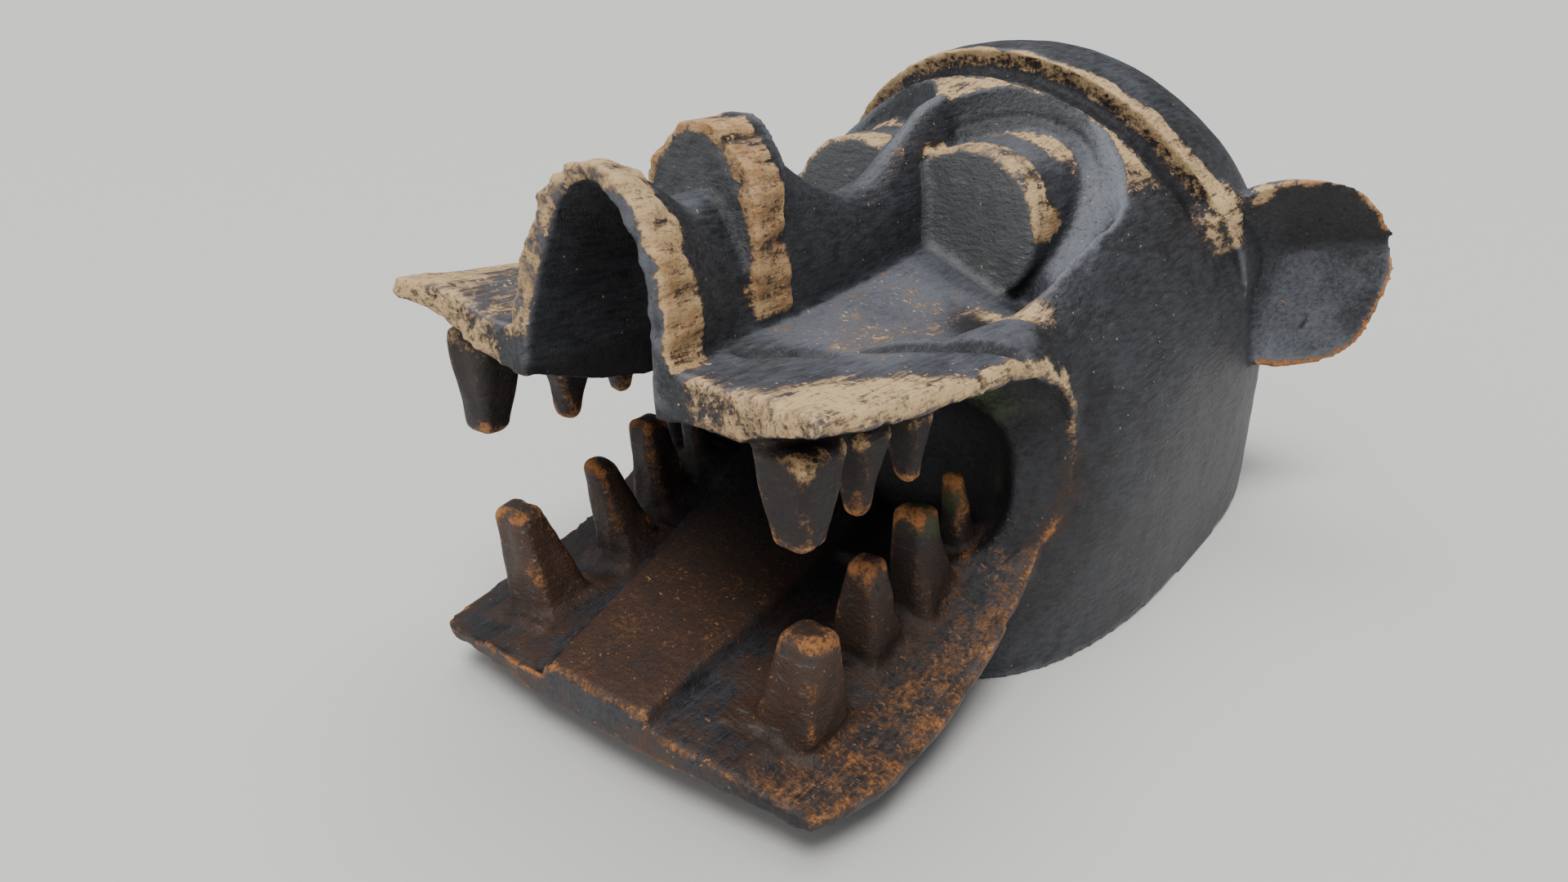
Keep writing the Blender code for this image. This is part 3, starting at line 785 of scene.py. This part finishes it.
def mark_face(skin, on):
    """Nose and hood, eyes and sockets, the chip in the brow, and the cheeks with their groove."""
    x, y, z = skin.points.T
    across, back, up = skin.normals.T
    side, wobble = np.abs(x), skin.wobble
    aside, lift = x - HOOD_LEAN, z - HOOD_FOOT
    outwards = (aside * across + lift * up) / np.maximum(np.hypot(aside, lift), 0.01)
    over = rise(0.232, 0.24, z) * fall(0.068, 0.076, np.abs(aside))
    on["hood"] = fall(-0.326, -0.32, y + wobble) * over * rise(0.1, 0.4, outwards)
    on["hood_rim"] = fall(-0.348, -0.342, y) * over * rise(0.4, 0.7, -back)
    ring = np.hypot(side / NOSTRIL_HALF, np.maximum(z - NOSTRIL_WAIST, 0.0) / NOSTRIL_RISE)
    on["nostril"] = band(-0.272, -0.24, 0.004, y + wobble) * rise(0.236, 0.246, z)
    on["nostril"] *= fall(0.05, 0.058, side) * rise(0.88, 0.95, ring)
    on["nostril_face"] = fall(-0.266, -0.262, y) * band(0.24, 0.35, 0.01, z) * rise(0.5, 0.8, -back)
    on["nostril_face"] *= fall(0.045, 0.05, side) * rise(-0.276, -0.272, y)
    on["bridge"] = fall(0.006, 0.018, side) * band(-0.215, -0.05, 0.02, y) * rise(0.27, 0.29, z)
    out = np.hypot(side - EYE_X, z - EYE_HEIGHT)
    turned = (z - EYE_HEIGHT) + 0.3 * (side - EYE_X)
    on["eye_band"] = band(EYE_RADIUS - 0.003, EYE_RADIUS + 0.006, 0.002, out)
    on["eye_band"] *= band(-0.06, -0.034, 0.006, y + wobble) * rise(0.0, 0.022, turned)
    on["eye_face"] = fall(EYE_RADIUS - 0.003, EYE_RADIUS + 0.001, out) * band(-0.064, -0.05, 0.003, y)
    on["eye_patch"] = fall(0.006, 0.014, skin.off_point(EYE_PATCH))
    on["socket"] = socket_reach(side, y, z) * rise(EYE_RADIUS, EYE_RADIUS + 0.006, out)
    on["chip"] = fall(0.004, 0.009, np.linalg.norm(skin.points - np.array(BROW_CHIP), axis=1))
    on["cheek_patch"] = fall(0.014, 0.046, skin.off_point(CHEEK_PATCH)) * rise(0.3, 0.6, up)
    on["cheek_plane"] = (band(-0.26, -0.1, 0.02, y) * band(0.03, 0.115, 0.01, side)
                         * rise(0.6, 0.9, up))
    on["cheek_plane"] *= band(0.205, 0.25, 0.01, z)
    on["groove"] = np.exp(-(skin.off_both(CHEEK_GROOVE) / 0.0055) ** 2)


def mark_cap(skin, on):
    """Forehead, front edge of the cap with its cove and groove, and the ears."""
    x, y, z = skin.points.T
    side, up, wobble = np.abs(x), skin.normals[:, 2], skin.wobble
    cap = cap_distance(skin)
    on["forehead"] = (band(-0.062, -0.025, 0.01, cap + wobble) * rise(0.24, 0.305, z)
                      * rise(0.0, 0.3, up))
    on["forehead"] *= 1.0 - on["socket"]
    on["cap_cove"] = band(-0.016, -0.003, 0.005, cap) * rise(0.2, 0.25, z)
    on["cap_groove"] = band(-0.0235, -0.022, 0.0012, cap) * rise(0.22, 0.27, z) * rise(0.0, 0.3, up)
    width = 0.003 + 0.015 * rise(0.03, 0.11, x)
    on["cap_edge"] = (rise(-0.001, 0.001, cap) * fall(0.0, 0.006, cap - width + wobble)
                      * rise(0.205, 0.24, z))
    on["cap_edge"] *= fall(0.17, 0.18, side)
    on["ear"] = rise(0.176, 0.19, side) * rise(0.09, 0.12, z) * rise(0.1, 0.12, y)
    on["ear_block"] = fall(0.022, 0.034, skin.off_point(EAR_BLOCK + EAR_BLOCK_FRONT))
    on["ear_root"] = fall(0.006, 0.016, skin.off_point(EAR_ROOT_PATCH))


def mark_mouth(skin, on):
    """Inside of the mouth, and the lower jaw with its tongue and all teeth."""
    x, y, z = skin.points.T
    side, up = np.abs(x), skin.normals[:, 2]
    inside = fall(0.135, 0.155, side) * band(0.03, 0.215, 0.01, z) * fall(-0.13, -0.1, y)
    on["mouth"] = inside
    on["deep"] = inside * rise(-0.29, -0.19, y) * (1.0 - 0.7 * rise(0.095, 0.145, side))
    jaw = fall(0.075, 0.11, z) * fall(-0.2, -0.15, y)
    on["jaw"] = jaw
    left = np.interp(y, *zip(*TONGUE_EDGE))
    on["tongue"] = rise(-0.001, 0.001, x - left) * fall(TONGUE_RIGHT, TONGUE_RIGHT + 0.004, x)
    on["tongue"] *= jaw * rise(0.3, 0.6, up)
    on["tongue_front"] = fall(-0.366, -0.356, y + skin.wobble) * band(-0.028, 0.04, 0.004, x) * jaw
    on["left_floor"] = fall(-0.002, 0.002, x - left) * rise(-0.15, -0.11, x) * jaw
    on["jaw_edge"] = np.maximum(on["jaw_edge"], fall(-0.368, -0.359, y) * jaw)
    teeth, foot = np.zeros(len(x)), np.zeros(len(x))
    for tip, base, tip_size, base_size in LOWER_TEETH + UPPER_TEETH:
        low, high = sorted((tip[2], base[2]))
        t = np.clip((z - base[2]) / (tip[2] - base[2]), 0.0, 1.0)
        middle_x = base[0] + (tip[0] - base[0]) * t
        middle_y = base[1] + (tip[1] - base[1]) * t
        reach = (base_size[0] + (tip_size[0] - base_size[0]) * t) * 0.5 + 0.006
        gap = np.maximum(np.abs(side - middle_x), np.abs(y - middle_y))
        tooth = fall(reach, reach + 0.006, gap) * band(low, high + 0.004, 0.004, z)
        teeth = np.maximum(teeth, tooth)
        ring = np.hypot(side - base[0], y - base[1]) - 0.5 * base_size[0]
        shade = fall(0.004, 0.016, ring) * fall(0.006, 0.016, np.abs(z - base[2] - 0.004))
        foot = np.maximum(foot, shade)
    on["teeth"] = teeth
    on["tooth_foot"] = foot * jaw
    on["brim"] = on["brim"] * (1.0 - teeth)


def regions(skin):
    """Where on the mask each point lies: one array for each part of the carving."""
    on = {}
    for mark in (mark_lips, mark_face, mark_cap, mark_mouth):
        mark(skin, on)
    return on


def gouge_strokes(skin, seed):
    """Shallow strokes of a gouge, long along the grain and a few millimetres apart."""
    return 0.7 * skin.mottle(0.0075, seed, STROKE) + 0.5 * skin.mottle(0.017, seed + 2.0, STROKE)


def soften_joins(skin):
    """Coves where the pieces of the carving run into each other."""
    on = regions(skin)
    x, y, z = skin.points.T
    side = np.abs(x)
    free = (1.0 - on["teeth"]) * rise(0.008, 0.02, on["lip_gap"])
    throat = (band(-0.185, -0.085, 0.02, y) * band(0.06, 0.205, 0.012, z)
              * band(0.085, 0.15, 0.012, side))
    throat = throat * free * (skin.normals[:, 1] < 0.3)
    skin.relax(0.9 * skin.spread(throat, 2), THROAT_ROUNDS)
    socket = (band(EYE_FACE_Y + 0.026, 0.03, 0.01, y) * band(0.18, 0.36, 0.01, z)
              * rise(0.045, 0.055, side))
    cheek = 0.9 * fall(0.01, 0.034, skin.off_both(CHEEK_JOIN)) * rise(-0.2, 0.3, skin.normals[:, 2])
    skin.relax(cheek, CHEEK_ROUNDS)
    crease = rise(0.03, 0.16, -skin.ridges(4)) * (1.0 - on["teeth"]) * (1.0 - 0.85 * on["jaw"])
    crease *= (1.0 - on["ear_block"]) * (1.0 - 0.7 * on["ear"])
    skin.relax(np.clip(skin.spread(0.7 * crease + 0.8 * socket, 2), 0.0, 0.9), CREASE_ROUNDS)


def cut_marks(skin):
    """Marks of the adze and knife, grooves, chips, cracks and the wood's own unevenness."""
    on = regions(skin)
    x, y, z = skin.points.T
    up = skin.normals[:, 2]
    depth = 0.0007 * skin.mottle(0.06) + 0.0003 * skin.mottle(0.016, 7.0)
    depth += 0.0021 * gouge_strokes(skin, 3.0) * (on["hood"] + on["nostril"])
    depth += 0.0009 * gouge_strokes(skin, 5.0) * (on["cap_edge"] + on["ear_block"])
    depth += 0.0005 * gouge_strokes(skin, 9.0) * (on["forehead"] + on["cap_cove"] + on["brim"])
    depth -= 0.0035 * on["cap_cove"] + 0.0016 * on["cap_groove"]
    hatch = skin.mottle(0.008, 11.0, (1.0, 1.0, 0.25))
    depth += 0.0004 * hatch * (on["eye_face"] + on["eye_band"] + on["nostril_face"])
    arc = np.hypot(np.abs(x) - EYE_X, z - EYE_HEIGHT) - EYE_RADIUS
    depth -= 0.0014 * band(0.0125, 0.0135, 0.0015, arc) * on["socket"] * rise(0.27, 0.3, z)
    depth += 0.0008 * skin.mottle(0.01, 13.0, (1.0, 1.0, 0.5)) * on["teeth"]
    rim = fall(0.003, 0.016, on["lip_gap"])
    depth += 0.001 * skin.mottle(0.03, 17.0) * rim
    depth -= 0.0013 * rise(0.35, 0.85, skin.mottle(0.014, 19.0)) * rim
    front = np.maximum(on["brim_front"] * fall(-0.35, -0.34, y), on["hood_rim"])
    depth += 0.0012 * skin.mottle(0.007, 41.0, (1.0, 0.3, 1.0)) * front
    depth -= 0.0046 * on["groove"] * rise(0.2, 0.5, up)
    for crack in CRACKS:
        gap, _ = skin.off_curve(traced(crack, CRACK_STEPS))
        depth -= 0.0022 * np.exp(-(gap / 0.0016) ** 2)
    depth -= 0.004 * on["chip"]
    depth -= 0.0032 * on["left_floor"] * rise(0.4, 0.7, up) * (1.0 - on["teeth"])
    skin.move(depth * rise(0.0, 0.006, z))


def bareness(skin, on, patches, breaks, soft_edge):
    """How far the patina is worn off at each point."""
    x, _, z = skin.points.T
    shape = skin.ridges(3)
    sharp = rise(0.02, 0.13, shape)
    crests = rise(-0.05, 0.07, shape)
    near = rise(-0.02, 0.02, x)
    hood_leg = rise(0.012, 0.03, x) * fall(0.312, 0.326, z)
    bare = {
        "brim": 0.69 + 0.08 * patches + 0.08 * breaks,
        "brim_front": 0.44 + 0.14 * patches + 0.22 * crests,
        "far_brim": 0.42 + 0.22 * patches + 0.12 * breaks,
        "hood": 0.54 + 0.26 * crests + 0.08 * breaks,
        "hood_rim": (0.54 + 0.2 * breaks) * (1.0 - 0.8 * hood_leg),
        "nostril": 0.5 + 0.28 * crests + 0.08 * breaks,
        "bridge": 0.22 + 0.25 * patches,
        "eye_band": 0.66 + 0.25 * breaks,
        "eye_patch": 0.42 + 0.3 * breaks,
        "forehead": 0.58 + 0.1 * patches + 0.12 * crests,
        "cap_edge": 0.48 + 0.28 * crests + 0.1 * breaks,
        "ear_block": 0.36 + 0.25 * crests + 0.1 * breaks,
        "ear_root": 0.75,
        "cheek_patch": 0.66 + 0.12 * breaks,
        "cheek_plane": 0.3 + 0.14 * patches,
        "chip": 0.8,
        "flange": (0.44 + 0.1 * patches + 0.08 * breaks) * (0.35 + 0.65 * near),
        "tongue": 0.26 + 0.12 * patches + 0.06 * breaks,
        "tongue_front": 0.16 + 0.1 * breaks + 0.45 * sharp,
        "jaw_edge": 0.1 + 0.14 * breaks + 0.46 * sharp,
        "cheek_wall": (0.1 + 0.25 * patches) * fall(0.1, 0.15, z),
        "teeth": 0.08 + 0.6 * sharp + 0.12 * breaks,
    }
    total = 0.26 * rise(0.05, 0.24, shape) + 0.05 + 0.04 * patches
    for place, value in bare.items():
        total = np.maximum(total, on[place] * value)
    total = np.maximum(total, on["ear"] * soft_edge * 0.7)
    lip = 0.62 * fall(0.001, 0.008, on["lip_gap"]) * (0.85 + 0.3 * breaks)
    total = np.maximum(total, lip) * (1.0 - 0.8 * on["deep"] * (1.0 - on["teeth"]))
    return total * (1.0 - 0.7 * on["groove"])


def darkness(skin, on):
    """How much painted shade lies at each point: most in the mouth, the creases and the groove, also in
    the cap's cove, on the cheeks' inner walls, at the roots of the teeth and on faces that turn downwards.
    """
    z, up = skin.points[:, 2], skin.normals[:, 2]
    return np.maximum.reduce([
        0.9 * on["deep"],
        0.5 * rise(0.04, 0.26, -skin.ridges(7)),
        on["mouth"] * rise(0.12, 0.18, z) * 0.8,
        0.35 * on["cap_cove"],
        0.5 * on["cheek_wall"],
        0.9 * on["groove"] * rise(0.2, 0.5, up),
        # Painted shade on the ear's downward-facing lobe, in the ear's and jaw's creases, at tooth roots
        # and under every downward face
        0.65 * on["ear"] * fall(-0.42, -0.05, up),
        0.85 * rise(0.02, 0.12, -skin.ridges(2)) * (on["jaw"] + on["ear"]),
        0.8 * on["tooth_foot"],
        0.45 * fall(-0.8, -0.3, up),
    ])


def wear_record(skin):
    """Store how rubbed or lit by painted highlight, bare, warm, red, darkened by painted shade, mossy and
    knife-cut each point is.
    """
    on = regions(skin)
    x, y, z = skin.points.T
    up = skin.normals[:, 2]
    patches = skin.mottle(0.032, 23.0)
    breaks = skin.mottle(0.011, 29.0)
    soft_edge = rise(0.015, 0.1, skin.ridges(6))
    low = fall(0.09, 0.21, z)
    warm = 0.1 + 0.75 * low + 0.55 * on["ear"] + 0.35 * on["teeth"] + 0.42 * on["nostril"]
    warm = (warm * (1.0 - 0.6 * on["cheek_plane"]) + 0.3 * on["chip"]
            + 0.5 * on["eye_patch"] + 0.36 * on["hood"] * fall(0.29, 0.32, z))
    red = on["jaw"] * (0.6 + 0.32 * patches) + 0.8 * on["teeth"] + 0.45 * on["tongue"]
    red = np.maximum(red, fall(0.004, 0.022, on["lip_gap"]) * rise(0.45, 0.55, low) * 0.8)
    moss = band(0.12, 0.188, 0.02, z) * band(0.1, 0.14, 0.012, x) * band(-0.215, -0.13, 0.02, y)
    # Rubbed edges, plus painted highlight on upward faces, on the outer walls of the sockets, on the cheek
    # plane and on the ear's lower lobe
    rub = 0.65 * soft_edge + 0.6 * on["socket"] * rise(0.07, 0.105, np.abs(x))
    rub += (0.52 * rise(0.5, 0.95, up) * (1.0 - on["jaw"]) * (1.0 - 0.4 * rise(0.3, 0.33, z))
            + 0.12 * patches)
    rub += 0.3 * on["cheek_plane"] + 0.5 * on["ear"] * rise(0.05, 0.3, up)
    rub *= (1.0 - on["mouth"]) * (1.0 - on["groove"])
    moss *= 0.45 + 0.6 * patches
    cut = on["eye_face"] + 0.7 * on["nostril_face"] + 0.5 * on["teeth"]
    bare = bareness(skin, on, patches, breaks, soft_edge)
    # Records painted shade in hollows and under downward faces, and painted highlight on upward faces
    # along with the rubbed edges
    skin.record(rub=rub, bare=bare, warm=warm, red=red, dark=darkness(skin, on), moss=moss, cut=cut)


class Value:
    """A shader socket that takes part in sums and products."""

    def __init__(self, finish, socket):
        self.finish = finish
        self.socket = socket

    def maths(self, operation, first, second):
        return self.finish.node("ShaderNodeMath", {"operation": operation}, {0: first, 1: second})

    def __add__(self, other):
        return self.maths("ADD", self, other)

    __radd__ = __add__

    def __mul__(self, other):
        return self.maths("MULTIPLY", self, other)

    def __sub__(self, other):
        return self.maths("SUBTRACT", self, other)

    def __rsub__(self, other):
        return self.maths("SUBTRACT", other, self)


class Finish:
    """A material whose nodes are written as Python expressions."""

    def __init__(self, name):
        self.material = bpy.data.materials.new(name)
        self.material.use_nodes = True
        self.tree = self.material.node_tree
        self.shader = self.tree.nodes["Principled BSDF"]

    def node(self, kind, settings, sockets, output=0):
        made = self.tree.nodes.new(kind)
        for key, value in settings.items():
            setattr(made, key, value)
        for key, value in sockets.items():
            self.feed(made.inputs[key], value)
        return Value(self, made.outputs[output])

    def feed(self, socket, value):
        if isinstance(value, Value):
            self.tree.links.new(value.socket, socket)
        else:
            socket.default_value = value

    def attribute(self, name):
        return self.node("ShaderNodeAttribute", {"attribute_name": name}, {}, "Fac")

    def places(self, stretch=(1.0, 1.0, 1.0), turn=(0.0, 0.0, 0.0)):
        """Points of the surface, turned and stretched."""
        spots = self.node("ShaderNodeTexCoord", {}, {}, "Object")
        sockets = {"Vector": spots, "Scale": stretch, "Rotation": turn}
        return self.node("ShaderNodeMapping", {}, sockets)

    def noise(self, places, size, detail, roughness):
        """Cloudy pattern from 0 to 1 with patches of the given size."""
        sockets = {"Vector": places, "Scale": 1.0 / size, "Detail": detail, "Roughness": roughness}
        return self.node("ShaderNodeTexNoise", {}, sockets, "Fac")

    def step(self, value, low, high):
        """Smooth step of a value from 0 at low to 1 at high."""
        sockets = {"Value": value, "From Min": low, "From Max": high}
        return self.node("ShaderNodeMapRange", {"interpolation_type": "SMOOTHSTEP"}, sockets)

    def mix(self, factor, first, second):
        """Mix two colours."""
        sockets = {0: factor, 6: first, 7: second}
        return self.node("ShaderNodeMix", {"data_type": "RGBA"}, sockets, 2)

    def bump(self, height, distance, strength):
        """Normal that shows a height as relief."""
        sockets = {"Height": height, "Distance": distance, "Strength": strength}
        return self.node("ShaderNodeBump", {}, sockets)


# Colours of the patina, of what lies on it, of the wood under it, and of painted shade and painted
# highlight
CHARCOAL = (0.011, 0.011, 0.013, 1.0)
SLATE = (0.044, 0.047, 0.055, 1.0)
# Pale blue-grey of rubbed edges and of painted highlight
POLISH_AND_SHEEN = (0.15, 0.16, 0.185, 1.0)
CUT_GREY = (0.12, 0.125, 0.128, 1.0)
# Near-black of painted shade
SHADE_BLACK = (0.006, 0.0052, 0.005, 1.0)
MAHOGANY = (0.058, 0.031, 0.02, 1.0)
CREAM = (0.62, 0.43, 0.22, 1.0)
AMBER = (0.42, 0.17, 0.052, 1.0)
UMBER = (0.12, 0.058, 0.028, 1.0)
LICHEN = (0.045, 0.066, 0.022, 1.0)
SCRATCH = (0.24, 0.245, 0.25, 1.0)


def patinated_wood():
    """Dark waxed patina, worn through to cream and amber wood, with painted shade and painted highlight
    mixed in.
    """
    finish = Finish("patinated_wood")
    step, mix, noise_of, places = finish.step, finish.mix, finish.noise, finish.places()
    records = ("bare", "warm", "red", "dark", "moss", "cut", "rub")
    bare, warm, red, dark, moss, cut, rub = (finish.attribute(name) for name in records)
    cloud = noise_of(places, 0.055, 5.0, 0.6)
    blotch = noise_of(places, 0.014, 5.0, 0.65)
    fleck = noise_of(places, 0.0042, 5.0, 0.7)
    grain = noise_of(finish.places((1.0, 0.16, 1.0)), 0.0028, 5.0, 0.65)
    hatch = noise_of(finish.places((0.25, 1.0, 0.9), (0.0, 0.7, 0.0)), 0.003, 3.0, 0.6)
    pits = step(noise_of(places, 0.003, 3.0, 0.55), 0.6, 0.74)

    pale = step(cloud * 0.3 + blotch * 0.2 + grain * 0.65, 0.4, 0.74)
    # Rubbed edges and painted highlight turn the patina pale blue-grey
    rubbed = step(rub + (grain - 0.5) * 0.7 + (cloud - 0.5) * 0.5, 0.1, 1.05)
    planed = step(cut + (hatch - 0.5) * 0.9 + (blotch - 0.5) * 0.5, 0.15, 1.25)
    stain = step(red + (blotch - 0.5) * 1.6 + (fleck - 0.5) * 0.8, 0.35, 1.0)
    patina = mix(pale, CHARCOAL, SLATE)
    patina = mix(rubbed * 0.85, patina, POLISH_AND_SHEEN)
    patina = mix(planed, patina, CUT_GREY)
    patina = mix(stain, patina, MAHOGANY)
    patina = mix(step(hatch, 0.6, 0.7) * cut * 0.55, patina, SCRATCH)
    # Painted shade: near-black in the mouth, in creases, at the roots of the teeth and on downward faces
    patina = mix(dark * 0.92, patina, SHADE_BLACK)
    patina = mix(step(moss + (fleck - 0.5) * 1.2, 0.35, 0.75) * 0.8, patina, LICHEN)

    streak = noise_of(finish.places((1.0, 0.12, 1.0)), 0.0055, 4.0, 0.6)
    ragged = (fleck - 0.5) * 0.6 + (blotch - 0.5) * 0.35 + (grain - 0.5) * 1.1 + (streak - 0.5) * 0.7
    speckled = (noise_of(places, 0.003, 4.0, 0.7) - 0.5) * 1.7 + (blotch - 0.5) * 0.5
    ragged = ragged + red * (speckled - ragged)
    stained = step(bare + ragged, 0.26, 0.52)
    worn = step(bare + ragged, 0.4, 0.74)
    specks = step(noise_of(places, 0.0034, 2.0, 0.5) + bare * 0.22, 0.735, 0.775)
    specks = specks * (1.0 - dark)
    wood = mix(step(warm + (blotch - 0.5) * 0.9, 0.2, 0.95), CREAM, AMBER)
    wood = mix(step(grain + (cloud - 0.5) * 0.4, 0.5, 0.7) * 0.62, wood, UMBER)
    wood = mix(pits * 0.55, wood, UMBER)
    shown = mix(stained * 0.55, patina, UMBER)
    shown = mix(worn * 0.95, shown, wood)
    shown = mix(specks * 0.8, shown, wood)
    finish.feed(finish.shader.inputs["Base Color"], shown)
    finish.feed(finish.shader.inputs["Roughness"], 0.36 + worn * 0.34 + fleck * 0.2 + dark * 0.12)
    relief = grain * 0.55 + fleck * 0.45 + blotch * 0.5 + hatch * cut * 0.5 - pits * 0.3 - worn * 0.3
    finish.feed(finish.shader.inputs["Normal"], finish.bump(relief, 0.002, 0.9))
    finish.shader.inputs["Specular IOR Level"].default_value = 0.42
    return finish.material


def carve():
    """The finished mask as one piece."""
    mask = rough_out()
    soften_joins(Surface(mask.data))
    cut_marks(Surface(mask.data))
    faces = sum(len(face.vertices) - 2 for face in mask.data.polygons)
    thin = mask.modifiers.new("thin", "DECIMATE")
    thin.ratio = min(1.0, MOST_TRIANGLES / faces)
    settle(mask)
    wear_record(Surface(mask.data))
    mask.data.shade_smooth()
    mask.data.materials.clear()
    mask.data.materials.append(patinated_wood())
    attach(mask, "root")
    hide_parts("mask")


FLOOR_SIZE = 300.0
FLOOR_COLOUR = (0.66, 0.65, 0.63, 1.0)
FLOOR_GAP = 0.0006


def studio_floor():
    """Plain pale floor."""
    built = bmesh.new()
    bmesh.ops.create_grid(built, x_segments=1, y_segments=1, size=FLOOR_SIZE / 2)
    bmesh.ops.translate(built, verts=built.verts, vec=(0.0, 0.0, -FLOOR_GAP))
    mesh = bpy.data.meshes.new("floor")
    built.to_mesh(mesh)
    built.free()
    floor = bpy.data.objects.new("floor", mesh)
    bpy.context.scene.collection.objects.link(floor)
    finish = Finish("pale_floor")
    finish.shader.inputs["Base Color"].default_value = FLOOR_COLOUR
    finish.shader.inputs["Roughness"].default_value = 0.85
    mesh.materials.append(finish.material)


def aimed(name, data, place, target):
    """Object at a place whose -Z points at the target."""
    made = bpy.data.objects.new(name, data)
    made.location = place
    made.rotation_euler = (Vector(target) - Vector(place)).to_track_quat("-Z", "Y").to_euler()
    bpy.context.scene.collection.objects.link(made)
    return made


LAMPS = {
    "overhead": ((-0.1, 0.25, 1.0), 0.8, 1.7),
    "key": ((0.25, -0.4, 1.0), 0.45, 2.5),
    "front": ((0.3, -1.0, 0.4), 1.2, 0.8),
    "fill": ((-0.9, -0.5, 0.6), 1.2, 0.4),
}
SKY_COLOUR = (0.86, 0.9, 0.96, 1.0)
SKY_STRENGTH = 0.16


def studio_light():
    """Soft light from wide lamps far away, given by direction, width and power, and a pale surround."""
    for name, (direction, width, power) in LAMPS.items():
        lamp = bpy.data.lights.new(name, "SUN")
        lamp.angle = width
        lamp.energy = power
        aimed(name, lamp, direction, (0.0, 0.0, 0.0))
    world = bpy.data.worlds.new("surround")
    world.use_nodes = True
    sky = world.node_tree.nodes["Background"]
    sky.inputs["Color"].default_value = SKY_COLOUR
    sky.inputs["Strength"].default_value = SKY_STRENGTH
    bpy.context.scene.world = world


CAMERA_PLACE = Vector((0.38, -0.6821, 0.4066))
CAMERA_AZIMUTH = math.radians(37.8)
CAMERA_ELEVATION = math.radians(23.5)
CAMERA_LENS = 24.45


def photo_camera():
    """Camera at the photograph's viewing angle."""
    data = bpy.data.cameras.new("camera")
    data.sensor_width = 36.0
    data.lens = CAMERA_LENS
    data.clip_start = 0.01
    level = math.cos(CAMERA_ELEVATION)
    ahead = Vector((-math.sin(CAMERA_AZIMUTH) * level, math.cos(CAMERA_AZIMUTH) * level,
                    -math.sin(CAMERA_ELEVATION)))
    bpy.context.scene.camera = aimed("camera", data, CAMERA_PLACE, CAMERA_PLACE + ahead)


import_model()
carve()
studio_floor()
studio_light()
photo_camera()
